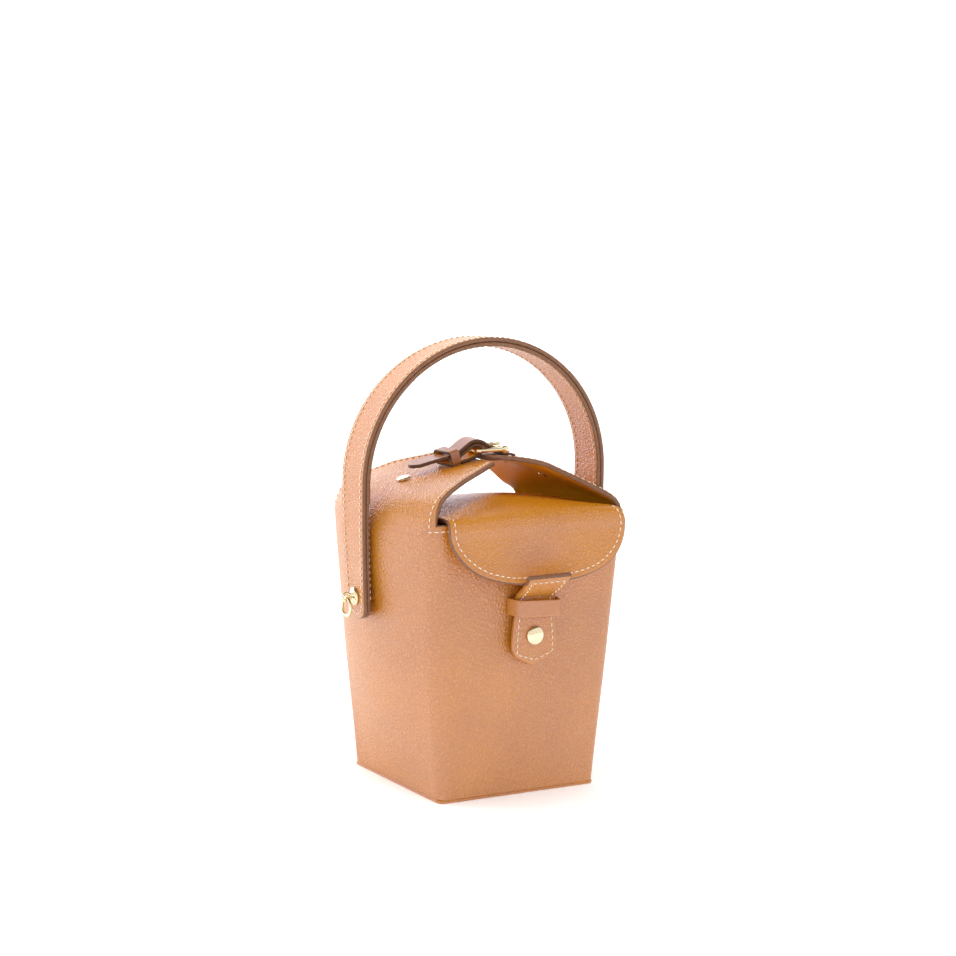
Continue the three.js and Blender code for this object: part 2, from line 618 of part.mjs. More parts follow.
function handleEndPly(sign) {
  const arc = Math.PI * innerFace;
  const joint = HANDLE_SPRING_Z - HANDLE_JOINT_Z;
  const columns = HANDLE_COLUMNS.map((across) => {
    const down = [...endRows(across), ...range(ROUND_END, joint, HANDLE_LEG_STEPS)];
    const distances = sign > 0 ? down.map(d => -d) : [...down].reverse().map(d => arc + d);
    return distances.map(distance => handlePoint(innerFace, distance, across));
  });
  return sheet(columns[0].map((_, row) => columns.map(column => column[row])), END_PLY_THICK);
}

addPiece('handle_outer_ply', cut(handleOuterPly(), ...SIDES.map(studDrill)), LEATHER);
addPiece('handle_inner_ply', handleInnerPly(), LEATHER);

// Eye stud: a washer inside the wall, a shank through wall and handle, a domed head and an eye
function handleStud(depth) {
  const { shank, head, headHeight, washer, washerThick, segments } = STUD;
  const inside = -depth;
  const bolt = turned([
    [0, inside - washerThick], [washer, inside - washerThick], [washer, inside], [shank, inside],
    [shank, GAP], [head, GAP], ...STUD_DOME.map(([across, up]) => [across * head, up * headHeight]),
  ], segments);
  const eye = new THREE.TorusGeometry(EYE.radius, EYE.wire, 6, 12);
  eye.rotateY(Math.PI / 2).translate(0, EYE.offset, 0);
  return join(bolt, eye);
}

for (const side of SIDES) {
  const { name, sign, rows, stud, rivet } = side;
  const wallInside = sideMiddle(rows, STUD.z) - sign * WALL_THICK;
  const studDepth = Math.abs(stud.point.x - wallInside) + STUD_SLACK;
  addPiece(`handle_end_ply_${name}`, cut(handleEndPly(sign), studDrill(side)), LEATHER);
  stand(addPiece(`handle_stud_${name}`, handleStud(studDepth), GOLD), stud.point, stud.axis);
  const ring = addPiece(`side_ring_${name}`, new THREE.TorusGeometry(RING.radius, RING.wire, 6, 22), GOLD);
  ring.rotation.y = Math.PI / 2;
  ring.position.copy(stud.point).addScaledVector(stud.axis, EYE.offset);
  ring.position.z -= RING.radius + RING.hang;
  stand(addPiece(`flap_rivet_${name}`, capRivet(FLAP_RIVET, WALL_THICK), GOLD), rivet.point, rivet.axis);
}

// Rivet with a domed cap on the outer face of what it goes through, which is at height 0, and a smaller
// cap on the inner face
function capRivet({ cap, capThick, shank, lift, segments }, through) {
  const flatRadius = CAP_FLAT_SHARE * cap;
  const inner = CAP_INNER_SHARE * cap;
  const side = CAP_SIDE_SHARE * capThick;
  const top = lift;
  const bottom = -through - lift;
  return turned([
    [0, bottom - capThick], [CAP_FLAT_SHARE * inner, bottom - capThick], [inner, bottom - side],
    [inner, bottom], [shank, bottom], [shank, top], [cap, top], [cap, top + side],
    [flatRadius, top + capThick], [0, top + capThick],
  ], segments);
}

// Strap in the middle plane from the points of its outer face, with a sheet's columns along Y
function strap(rows, stepsPerRow, thickness, acrossSign, endRound) {
  const centre = tableCurve(rows, row => new THREE.Vector3(row.x, 0, row.z));
  const stations = range(0, rows.length - 1, (rows.length - 1) * stepsPerRow);
  const last = stations.length - 1;
  const grid = stations.map((station, k) => [-1, 0, 1].map((across) => {
    const pull = k === last ? endRound * across * across : 0;
    const point = centre(station - pull);
    return point.setY(acrossSign * across * STRAP_HALF);
  }));
  return sheet(grid, thickness);
}

const barSlot = boxBetween(
  new THREE.Vector3(BAR_SLOT.fromX, -BAR_SLOT.halfWidth, FRAME.z - 2 * FOLD_RADIUS),
  new THREE.Vector3(BAR_SLOT.toX, BAR_SLOT.halfWidth, FRAME.z + 2 * FOLD_RADIUS),
);
addPiece('buckle_strap', cut(strap(BUCKLE_STRAP_ROWS, 2, FOLD_THICK, -1, 0), barSlot), LEATHER);

const prongSlot = boxBetween(
  new THREE.Vector3(PRONG_SLOT.fromX, -PRONG_SLOT.halfWidth, FRAME.z - 2 * FOLD_RADIUS),
  new THREE.Vector3(PRONG_SLOT.toX, PRONG_SLOT.halfWidth, FRAME.z + 3 * FOLD_RADIUS),
);
addPiece('tail_strap', cut(
  strap(TAIL_ROWS, 2, STRAP_THICK, 1, 0.35),
  prongSlot,
  tailDrill(),
), LEATHER);
const tailRivet = capRivet(TAIL_RIVET, WALL_THICK + STRAP_THICK + 2 * GAP);
const tailFace = tailSeat.point.clone().addScaledVector(tailSeat.axis, STRAP_THICK + 2 * GAP);
stand(addPiece('tail_rivet', tailRivet, GOLD), tailFace, tailSeat.axis);

// Rectangle with round corners, about the origin
function roundedRectangle(Outline, halfX, halfY, radius) {
  const outline = new Outline();
  const centres = [[halfX - radius, halfY - radius], [radius - halfX, halfY - radius],
    [radius - halfX, radius - halfY], [halfX - radius, radius - halfY]];
  centres.forEach(([x, y], k) => {
    outline.absarc(x, y, radius, k * Math.PI / 2, (k + 1) * Math.PI / 2, false);
  });
  return outline.closePath();
}

function buckleFrame() {
  const { halfLength, halfWidth, rail, corner, innerCorner, bevel } = FRAME;
  const outline = roundedRectangle(THREE.Shape, halfLength, halfWidth, corner);
  outline.holes.push(roundedRectangle(THREE.Path, halfLength - rail, halfWidth - rail, innerCorner));
  const rails = new THREE.ExtrudeGeometry(outline, {
    depth: rail - 2 * bevel, curveSegments: 3,
    bevelSize: bevel, bevelThickness: bevel, bevelOffset: -bevel, bevelSegments: 1,
  }).translate(FRAME.x, 0, FRAME.z - rail / 2 + bevel);
  const knobs = [-KNOB.y, KNOB.y].map(y => drill(
    new THREE.Vector3(KNOB.x, y, FRAME.z), new THREE.Vector3(0, 1, 0), KNOB.radius, KNOB.length,
  ));
  return join(rails, ...knobs);
}
addPiece('buckle_frame', buckleFrame(), GOLD);

// Prong: a ring round the bar and an arm that lies on the far rail
function buckleProng() {
  const { ringOuter, ringInner, halfThick, armX, tipX, low, high, tipHigh } = PRONG;
  const ring = new THREE.Shape().absarc(BAR_X, FRAME.z, ringOuter, 0, 2 * Math.PI);
  ring.holes.push(new THREE.Path().absarc(BAR_X, FRAME.z, ringInner, 0, 2 * Math.PI));
  const arm = new THREE.Shape([
    new THREE.Vector2(armX, low), new THREE.Vector2(tipX, low),
    new THREE.Vector2(tipX, tipHigh), new THREE.Vector2(armX, high),
  ]);
  const options = { depth: 2 * halfThick, bevelEnabled: false, curveSegments: 10 };
  const place = outline => new THREE.ExtrudeGeometry(outline, options)
    .translate(0, 0, -halfThick)
    .rotateX(Math.PI / 2);
  return join(place(ring), place(arm));
}
addPiece('buckle_prong', buckleProng(), GOLD);

// Loop round both straps
function buckleKeeper() {
  const { fromX, toX, innerHalf, lowZ, highZ, thick, corner, lean, skew } = KEEPER;
  const halfHeight = (highZ - lowZ) / 2;
  const outline = roundedRectangle(THREE.Shape, innerHalf + thick, halfHeight, corner);
  outline.holes.push(roundedRectangle(THREE.Path, innerHalf, halfHeight - thick, corner - thick));
  return new THREE.ExtrudeGeometry(outline, { depth: toX - fromX, bevelEnabled: false, curveSegments: 4 })
    .rotateX(Math.PI / 2)
    .rotateZ(Math.PI / 2)
    .translate((fromX - toX) / 2, 0, 0)
    .applyMatrix4(new THREE.Matrix4().set(1, -skew, -lean, 0, 0, 1, 0, 0, lean, 0, 1, 0, 0, 0, 0, 1))
    .translate((fromX + toX) / 2, 0, (highZ + lowZ) / 2);
}
addPiece('buckle_keeper', buckleKeeper(), LEATHER);

export default bag;
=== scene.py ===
"""A small box-shaped handbag of pebbled tan leather: the finish of every piece, the studio and the camera.

All pieces are surfaces in millimetres in the frame's own axes, turned to metres when the mesh is made.
"""
import bpy
import mathutils
import numpy as np
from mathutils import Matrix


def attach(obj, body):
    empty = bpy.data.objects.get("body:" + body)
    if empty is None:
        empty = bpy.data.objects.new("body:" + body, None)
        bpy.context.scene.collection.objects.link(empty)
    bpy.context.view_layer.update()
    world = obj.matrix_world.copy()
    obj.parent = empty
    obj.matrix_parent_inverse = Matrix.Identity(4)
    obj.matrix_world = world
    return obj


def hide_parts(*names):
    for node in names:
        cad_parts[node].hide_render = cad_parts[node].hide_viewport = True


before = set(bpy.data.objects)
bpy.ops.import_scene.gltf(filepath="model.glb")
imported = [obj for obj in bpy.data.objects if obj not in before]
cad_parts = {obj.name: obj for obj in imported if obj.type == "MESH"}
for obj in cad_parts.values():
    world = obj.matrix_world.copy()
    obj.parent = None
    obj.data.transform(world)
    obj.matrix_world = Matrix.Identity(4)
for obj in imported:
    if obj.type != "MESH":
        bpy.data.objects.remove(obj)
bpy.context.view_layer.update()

# Body wrap
# The four walls and the two side flaps are one piece of pebbled cow leather, 3 mm thick. It is folded round
# the base, so the corners are soft bends. The cut edges are sanded round and painted brown.
WALL_THICK = 3.0
BASE_HALF = 53.2
SHOULDER_HALF = 63.4
SHOULDER_Z = 165.0
BACK_DROP = 5.5
BACK_DIP = 13.0
BACK_DIP_FROM_Z = 130.0
CORNER_ZONE = 0.13
CORNER_STEPS = 7
PANEL_STEPS = 58
WALL_STEPS = 11
FLAP_STEPS = 6
RIGHT_SIDE_SHARE = 0.8
RIM_STEPS = 6
RIM_BULGE = 0.25
FLAP_GRAIN_FROM_Z = 170.0
FRONT, RIGHT, BACK, LEFT = range(4)


def table(names, *rows):
    """A short table of sizes as one array for each named column."""
    return dict(zip(names.split(), np.array(rows, float).T))


WALLS = table(
    "z side front back",
    (2.3, 0.2, 0.2, 0.2),
    (16.0, 2.5, 1.6, 1.4),
    (34.0, 5.9, 3.4, 2.8),
    (56.0, 10.0, 4.8, 3.8),
    (80.0, 13.2, 5.0, 4.0),
    (102.0, 13.7, 3.6, 3.0),
    (122.0, 14.2, 2.2, 1.8),
    (140.0, 14.9, 1.2, 1.0),
    (154.0, 14.2, 0.5, 0.4),
)
FLAP_COLUMNS = "edge_x edge_y edge_z back_drop mid_x mid_z round"
LEFT_FLAP = table(
    FLAP_COLUMNS,
    (63.4, 62.8, 166.5, 5.5, 76.0, 160.0, 1.0),
    (62.6, 61.2, 172.0, 5.5, 74.0, 167.0, 0.6),
    (60.2, 59.2, 177.4, 5.0, 69.6, 173.4, 0.2),
    (56.8, 56.9, 181.2, 4.6, 63.5, 178.3, 0.0),
    (50.2, 53.0, 184.5, 4.4, 55.5, 181.9, 0.0),
    (44.1, 49.4, 186.6, 4.0, 47.5, 184.4, 0.0),
    (32.7, 42.7, 189.7, 2.0, 35.5, 187.2, 0.0),
    (21.1, 35.7, 191.9, 1.0, 22.5, 189.7, 0.0),
    (11.0, 29.8, 194.0, 0.5, 11.5, 191.4, 0.0),
    (4.6, 25.6, 195.2, 0.0, 1.0, 192.8, 0.0),
)
RIGHT_FLAP = table(
    FLAP_COLUMNS,
    (65.0, 62.8, 164.5, 6.0, 74.6, 159.0, 1.0),
    (64.6, 60.8, 168.7, 8.0, 72.6, 165.0, 0.6),
    (61.8, 58.8, 173.2, 9.5, 68.8, 170.4, 0.2),
    (57.2, 56.5, 176.9, 10.5, 63.5, 174.8, 0.0),
    (50.8, 53.4, 180.6, 11.0, 56.0, 178.6, 0.0),
    (42.3, 48.3, 185.4, 10.0, 46.5, 183.2, 0.0),
    (33.2, 42.9, 190.2, 8.5, 35.5, 187.6, 0.0),
    (24.0, 37.4, 194.8, 6.0, 25.0, 191.6, 0.0),
    (13.1, 31.0, 197.1, 3.0, 13.5, 194.4, 0.0),
    (2.0, 24.4, 198.2, 0.0, 1.4, 195.6, 0.0),
)
SHOULDER_ROW = len(WALLS["z"])
RIDGE_ROW = SHOULDER_ROW + len(LEFT_FLAP["mid_x"]) - 1


def side_rows(sign, flap, share):
    """One side's table from the base to the ridge: a wall's corner moves out evenly with its height."""
    z = WALLS["z"]
    corner = BASE_HALF + (SHOULDER_HALF - BASE_HALF) * z / SHOULDER_Z
    wall = {
        "edge_x": corner,
        "edge_y": corner,
        "edge_z": z,
        "back_drop": BACK_DROP * (z / SHOULDER_Z) ** 2,
        "mid_x": corner + share * WALLS["side"],
        "mid_z": z,
        "round": np.ones_like(z),
    }
    rows = {name: np.concatenate([wall[name], flap[name]]) for name in wall}
    rows["edge_x"] = sign * rows["edge_x"]
    rows["mid_x"] = sign * rows["mid_x"]
    return rows


LEFT_ROWS = side_rows(-1, LEFT_FLAP, 1.0)
RIGHT_ROWS = side_rows(1, RIGHT_FLAP, RIGHT_SIDE_SHARE)
END_BULGE = {
    facing: np.concatenate([WALLS[name], np.zeros(RIDGE_ROW + 1 - SHOULDER_ROW)])
    for facing, name in ((-1, "front"), (1, "back"))
}


def smooth(column, at):
    """A column's value at fractional rows: a cubic through each four rows in turn (Catmull-Rom)."""
    padded = np.concatenate([[2 * column[0] - column[1]], column, [2 * column[-1] - column[-2]]])
    low = np.clip(np.floor(at).astype(int), 0, len(column) - 2)
    a, b, c, d = (padded[low + k] for k in range(4))
    t = at - low
    return b + t / 2 * (c - a + t * (2 * a - 5 * b + 4 * c - d + t * (3 * b - a - 3 * c + d)))


def as_points(x, y, z):
    """Three coordinates, each a number or an array, as one array of points."""
    return np.stack(np.broadcast_arrays(x, y, z), axis=-1)


def side_at(rows, row, along):
    """A side wall or flap: a parabola from its front edge (-1) over its middle line to its back edge (1)."""
    value = {name: smooth(column, row) for name, column in rows.items()}
    out = 1 - along ** 2
    edge_z = value["edge_z"] - np.where(along > 0, value["back_drop"], 0)
    x = value["edge_x"] + (value["mid_x"] - value["edge_x"]) * out
    z = edge_z + (value["mid_z"] - edge_z) * out
    return as_points(x, value["edge_y"] * along, z)


def end_at(row, facing, across):
    """The front or back wall: straight from the left side to the right side, plus a parabola outwards."""
    edge = facing * np.ones_like(across)
    left = side_at(LEFT_ROWS, row, edge)
    right = side_at(RIGHT_ROWS, row, edge)
    point = left + (right - left) * ((across + 1) / 2)[..., None]
    point[..., 1] += facing * smooth(END_BULGE[facing], row) * (1 - across ** 2)
    if facing > 0:
        rise = np.clip((point[..., 2] - BACK_DIP_FROM_Z) / (SHOULDER_Z - BACK_DIP_FROM_Z), 0, None)
        point[..., 2] -= BACK_DIP * rise ** 2 * (1 - across ** 8)
    return point


def wall_at(panel, row, along):
    """One of the four walls, read from left to right as seen from outside, with sharp corners."""
    side = panel % 4
    if side == FRONT:
        return end_at(row, -1, along)
    if side == RIGHT:
        return side_at(RIGHT_ROWS, row, along)
    if side == BACK:
        return end_at(row, 1, -along)
    return side_at(LEFT_ROWS, row, -along)


def body_at(panel, row, along):
    """A wall whose corners are rounded by a quadratic curve between the two walls that meet there."""
    flat = 1 - CORNER_ZONE
    end = np.where(along < 0, -1.0, 1.0)
    turn = (0.5 * np.clip((np.abs(along) - flat) / CORNER_ZONE, 0, 1))[..., None]
    plain = wall_at(panel, row, along)
    start = wall_at(panel, row, end * flat)
    corner = wall_at(panel, row, end)
    after = wall_at(panel + 1, row, -flat * np.ones_like(along))
    before = wall_at(panel - 1, row, flat * np.ones_like(along))
    finish = np.where(end[..., None] > 0, after, before)
    curve = (1 - turn) ** 2 * start + 2 * turn * (1 - turn) * corner + turn ** 2 * finish
    weight = np.clip(smooth(LEFT_ROWS["round"], row), 0, 1)[..., None] * (turn > 0)
    return plain + (curve - plain) * weight


def unit(vectors):
    """The same directions with length 1."""
    return vectors / np.maximum(np.linalg.norm(vectors, axis=-1, keepdims=True), 1e-9)


def leather_sheet(outer, thickness, used=None, wrap=False):
    """A closed leather sheet from a grid on its outer face, whose rows go up and columns go to the right.

    The inner face lies one thickness behind, and a half ellipse from face to face rounds every free edge.
    Returns points, quads and, for each quad, 0 on the outer face, 1 on the inner face and 2 on the edge.
    """
    rows, columns = outer.shape[:2]
    points = outer.reshape(-1, 3)
    count = len(points)
    ids = np.arange(count).reshape(rows, columns)
    ids = np.hstack([ids, ids[:, :1]]) if wrap else ids
    cells = np.stack([ids[:-1, :-1], ids[:-1, 1:], ids[1:, 1:], ids[1:, :-1]], axis=-1)
    cells = cells[used] if used is not None else cells.reshape(-1, 4)
    a, b, c, d = (points[cells[:, k]] for k in range(4))
    normals = np.zeros_like(points)
    np.add.at(normals, cells.ravel(), np.repeat(np.cross(c - a, d - b), 4, axis=0))
    normals = unit(normals)
    inner = points - thickness * normals

    start = cells.ravel()
    end = np.roll(cells, -1, axis=1).ravel()
    free = ~np.isin(start * count + end, end * count + start)
    start, end = start[free], end[free]
    tangent = np.zeros_like(points)
    np.add.at(tangent, start, points[end] - points[start])
    np.add.at(tangent, end, points[end] - points[start])
    border = np.unique(start)
    away = unit(np.cross(tangent[border], normals[border])) * RIM_BULGE * thickness
    angle = np.pi * np.arange(1, RIM_STEPS) / RIM_STEPS
    middle = (points[border] + inner[border]) / 2
    half = (points[border] - inner[border]) / 2
    rim = (middle[:, None] + half[:, None] * np.cos(angle)[None, :, None]
           + away[:, None] * np.sin(angle)[None, :, None])
    rim_ids = 2 * count + np.arange(rim.shape[0] * rim.shape[1]).reshape(rim.shape[:2])
    chain = np.column_stack([border, rim_ids, border + count])
    from_chain = chain[np.searchsorted(border, start)]
    to_chain = chain[np.searchsorted(border, end)]
    edges = np.stack([from_chain[:, :-1], from_chain[:, 1:], to_chain[:, 1:], to_chain[:, :-1]], axis=-1)

    quads = np.concatenate([cells, cells[:, ::-1] + count, edges.reshape(-1, 4)])
    kinds = np.repeat([0, 1, 2], [len(cells), len(cells), edges.size // 4])
    kept, quads = np.unique(quads, return_inverse=True)
    return np.concatenate([points, inner, rim.reshape(-1, 3)])[kept], quads.reshape(-1, 4), kinds


def add_piece(name, points, faces, materials, slot, node=None, kinds=None):
    """Makes a mesh piece from points in millimetres, puts it on the frame and hides the part it replaces."""
    mesh = bpy.data.meshes.new(name)
    mesh.from_pydata((points / 1000).tolist(), [], [list(face) for face in faces])
    for material in materials:
        mesh.materials.append(material)
    mesh.polygons.foreach_set("use_smooth", np.ones(len(mesh.polygons), bool))
    if kinds is not None:
        mesh.polygons.foreach_set("material_index", kinds.astype(np.int32))
    mesh.validate()
    mesh.update()
    piece = bpy.data.objects.new(name, mesh)
    bpy.context.scene.collection.objects.link(piece)
    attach(piece, "root")
    if node:
        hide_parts(node)


def add_leather(node, sheet, materials):
    """Makes a leather piece from a sheet's points, quads and kinds of face, each kind with its material."""
    points, quads, kinds = sheet
    add_piece(f"{node}_leather", points, quads.tolist(), materials, "grained_leather", node, kinds)


def linear(colour):
    """An sRGB hex colour as linear red, green, blue and 1."""
    parts = np.array([int(colour[k:k + 2], 16) / 255 for k in (1, 3, 5)])
    parts = np.where(parts <= 0.04045, parts / 12.92, ((parts + 0.055) / 1.055) ** 2.4)
    return (*parts, 1.0)


def set_inputs(material, node, inputs):
    """Links each input that is given another node's socket, and sets the others to constant values."""
    for socket, value in inputs.items():
        if isinstance(value, bpy.types.NodeSocket):
            material.node_tree.links.new(value, node.inputs[socket])
        else:
            node.inputs[socket].default_value = value


def add_node(material, kind, inputs=None, **settings):
    """Adds one node to a material, sets its options, and sets or links its inputs."""
    node = material.node_tree.nodes.new(kind)
    for option, value in settings.items():
        setattr(node, option, value)
    set_inputs(material, node, inputs or {})
    return node


def new_material(name):
    """An empty node material, its Principled shader, joined to the output, and the place on the object."""
    material = bpy.data.materials.new(name)
    material.use_nodes = True
    material.node_tree.nodes.clear()
    shader = add_node(material, "ShaderNodeBsdfPrincipled")
    add_node(material, "ShaderNodeOutputMaterial", {"Surface": shader.outputs["BSDF"]})
    return material, shader, add_node(material, "ShaderNodeTexCoord").outputs["Object"]


def noise(material, place, size_mm, detail=2.0, roughness=0.5):
    """A soft noise whose patches are about that many millimetres wide."""
    return add_node(material, "ShaderNodeTexNoise", {
        "Vector": place, "Scale": 1000 / size_mm, "Detail": detail, "Roughness": roughness,
    })


def remap(material, value, low, high, first=0.0, last=1.0, step="LINEAR"):
    """A value carried from one range to another and held at its ends, straight or by a smooth step."""
    return add_node(material, "ShaderNodeMapRange", {
        "Value": value, "From Min": low, "From Max": high, "To Min": first, "To Max": last,
    }, interpolation_type=step).outputs["Result"]


def blend(material, share, first, last):
    """A colour between two linear colours, by a share from 0 to 1."""
    return add_node(material, "ShaderNodeMix", {
        "Factor": share, 6: first, 7: last,
    }, data_type="RGBA").outputs[2]


def bumped(material, height, depth_mm):
    """The shading direction on a relief of that depth."""
    return add_node(material, "ShaderNodeBump", {
        "Height": height, "Strength": 1.0, "Distance": depth_mm / 1000,
    }).outputs["Normal"]


WAX_SHEEN = "#d0d6ff"
WAX_IOR = 1.7
CLOUD_MM = 45.0
CLOUD_SHADE = (0.36, 0.6)
DRIFT_GRAINS = 3.5
DRIFT_SHIFT = 1.1
DOME_REACH = 0.42
DOME_ROUGHNESS = 0.24
CREASE_REACH = 0.15
CREASE_SHADE = 0.3
CREASE_ROUGHNESS = 0.44
RIPPLE_GRAINS = 0.8
RIPPLE_HEIGHT = 0.3


def pebbled_leather(name, hide, crease_shade_tone, grain_mm, grain_depth_mm,
                    lean=(0.0, 0.0, 0.0), stretch=(1.0, 1.0, 1.0)):
    """Drum-dyed cow leather, milled until the grain stands up in small pebbles under a clear wax finish.

    The eye sees soft domes with thin creases between them, painted darker with a crease tone as painted
    shade, a pale sheen on the domes, and a deep mustard where the light has gone from leather to leather.
    Lean turns the grain and stretch draws it out.
    """
    material, shader, place = new_material(name)
    place = add_node(material, "ShaderNodeMapping", {
        "Vector": place, "Rotation": lean, "Scale": stretch,
    }, vector_type="TEXTURE").outputs["Vector"]
    drift = add_node(material, "ShaderNodeVectorMath", {
        0: noise(material, place, DRIFT_GRAINS * grain_mm).outputs["Color"],
        1: (DRIFT_SHIFT * grain_mm / 1000,) * 3,
        2: place,
    }, operation="MULTIPLY_ADD")
    pebbles = add_node(material, "ShaderNodeTexVoronoi", {
        "Vector": drift.outputs["Vector"], "Scale": 1000 / grain_mm, "Randomness": 0.8,
    }, feature="DISTANCE_TO_EDGE").outputs["Distance"]
    dome_share = remap(material, pebbles, 0.0, DOME_REACH, step="SMOOTHSTEP")
    crease = remap(material, pebbles, 0.0, CREASE_REACH, step="SMOOTHSTEP")
    ripples = noise(material, place, RIPPLE_GRAINS * grain_mm, roughness=0.4)
    height = add_node(material, "ShaderNodeMath", {
        0: ripples.outputs["Fac"], 1: RIPPLE_HEIGHT, 2: dome_share,
    }, operation="MULTIPLY_ADD")
    clouds = noise(material, place, CLOUD_MM)
    shade = remap(material, clouds.outputs["Fac"], 0.3, 0.7, *CLOUD_SHADE)
    # Painted shade: the creases take the darker crease tone; big clouds vary the tone at random
    depth = add_node(material, "ShaderNodeMath", {
        0: crease, 1: CREASE_SHADE, 2: shade,
    }, operation="MULTIPLY_ADD", use_clamp=True)
    set_inputs(material, shader, {
        "Base Color": blend(material, depth.outputs["Value"], linear(crease_shade_tone), linear(hide)),
        "Roughness": remap(material, dome_share, 0.0, 1.0, CREASE_ROUGHNESS, DOME_ROUGHNESS),
        "Normal": bumped(material, height.outputs["Value"], grain_depth_mm),
        "IOR": WAX_IOR,
        "Specular IOR Level": 1.0,
        "Specular Tint": linear(WAX_SHEEN),
    })
    return material


HIDE = "#d48a0d"
# The darker tone painted into the creases between the pebbles as painted shade
HIDE_CREASE_SHADE = "#a05e0a"
# The walls' and the lid's grain: 2 mm pebbles, a little longer one way
LEATHER = pebbled_leather("pebbled_cow_leather", HIDE, HIDE_CREASE_SHADE, grain_mm=2.0, grain_depth_mm=0.22,
                          lean=(0.71, 0.41, 0.0), stretch=(1.0, 1.0, 1.5))
# The same hide on the flaps, where bending has drawn the pebbles out into fine slanting lines
FLAP_LEATHER = pebbled_leather("pebbled_flap_leather", HIDE, HIDE_CREASE_SHADE, grain_mm=1.5, grain_depth_mm=0.34,
                               lean=(-0.85, 1.45, 0.0), stretch=(1.0, 1.0, 6.0))


def mottled(name, colour, dark, patch_mm, roughness, relief_mm):
    """A plain coat with soft patches: colour, gloss and a slight relief follow one noise of that size."""
    material, shader, place = new_material(name)
    patches = noise(material, place, patch_mm, detail=3.0).outputs["Fac"]
    set_inputs(material, shader, {
        "Base Color": blend(material, patches, linear(dark), linear(colour)),
        "Roughness": remap(material, patches, 0.0, 1.0, roughness - 0.08, roughness + 0.08),
        "Normal": bumped(material, patches, relief_mm),
    })
    return material, shader


# The hide's inner side, shaved and sealed with a thin dye: nearly matt, with a short nap. Its colour is set
# lighter and yellower than the hide's as painted light, to lift the shade inside the flaps
LIT_FLESH, flesh_shader = mottled("sealed_flesh_side", "#f0a80c", "#dc9208", patch_mm=1.2, roughness=0.45,
                              relief_mm=0.05)
flesh_shader.inputs["Specular IOR Level"].default_value = 0.2
# Edge paint in three thin coats, sanded between: satin, with faint ripples along the cut
EDGE_PAINT, _ = mottled("painted_edge", "#90664a", "#64402a", patch_mm=2.5, roughness=0.42, relief_mm=0.04)


def body_grid():
    """The outer face of the whole wrap: the walls' rows, then the flaps' rows, of all four walls."""
    flat = 1 - CORNER_ZONE
    along = np.concatenate([
        np.linspace(-1, -flat, CORNER_STEPS + 1)[:-1],
        np.linspace(-flat, flat, PANEL_STEPS + 1)[:-1],
        np.linspace(flat, 1, CORNER_STEPS + 1)[:-1],
    ])[None, :]
    walls = np.linspace(0, SHOULDER_ROW, SHOULDER_ROW * WALL_STEPS + 1)
    flaps = np.linspace(SHOULDER_ROW, RIDGE_ROW, (RIDGE_ROW - SHOULDER_ROW) * FLAP_STEPS + 1)[1:]
    row = np.concatenate([walls, flaps])[:, None]
    along = np.broadcast_to(along, (len(row), along.shape[1]))
    grid = np.concatenate([body_at(panel, row, along) for panel in range(4)], axis=1)
    is_side = np.repeat([False, True, False, True], along.shape[1])
    used = (np.arange(len(row) - 1) < len(walls) - 1)[:, None] | is_side[None, :]
    return grid, used


body_outer, body_used = body_grid()
body_points, body_quads, body_kinds = leather_sheet(body_outer, WALL_THICK, body_used, wrap=True)
at_foot = body_points[body_quads][:, :, 2].max(axis=1) < WALLS["z"][0] + 1
body_kinds[at_foot] = 0
on_flap = body_points[body_quads][:, :, 2].mean(axis=1) > FLAP_GRAIN_FROM_Z
body_kinds[on_flap & (body_kinds == 0)] = 3
add_leather("body_wrap", (body_points, body_quads, body_kinds), [LEATHER, LIT_FLESH, EDGE_PAINT, FLAP_LEATHER])

# Body stitching
# A saddle stitch of thick waxed linen thread, 3.8 mm a stitch, follows the flaps' free edges 2.4 mm in and
# turns along the top of the front and back walls. Each stitch is a short bowed piece of thread.
STITCH_PITCH = 3.8
STITCH_LENGTH = 2.6
STITCH_RADIUS = 0.36
STITCH_LIFT = 0.18
STITCH_RINGS = 7
STITCH_SIDES = 6
BODY_STITCH_INSET = 4.2
FLAP_STITCH_INSET = 2.4
INSET_CHANGE_ROWS = 3
BODY_STITCH_ROW = 8.72
RIDGE_STOP_ROWS = 0.35
FLAP_PATH_STEPS = 160
TURN_PATH_STEPS = 12
WALL_PATH_STEPS = 150
TWIST_MM = 0.5
TWIST_DEPTH_MM = 0.1


def normals_at(surface, u, v, step=1e-3):
    """Outward direction of a surface: across its columns (u) by up its rows (v), by small differences."""
    to_right = surface(u + step, v) - surface(u - step, v)
    upward = surface(u, v + step) - surface(u, v - step)
    return unit(np.cross(to_right, upward))


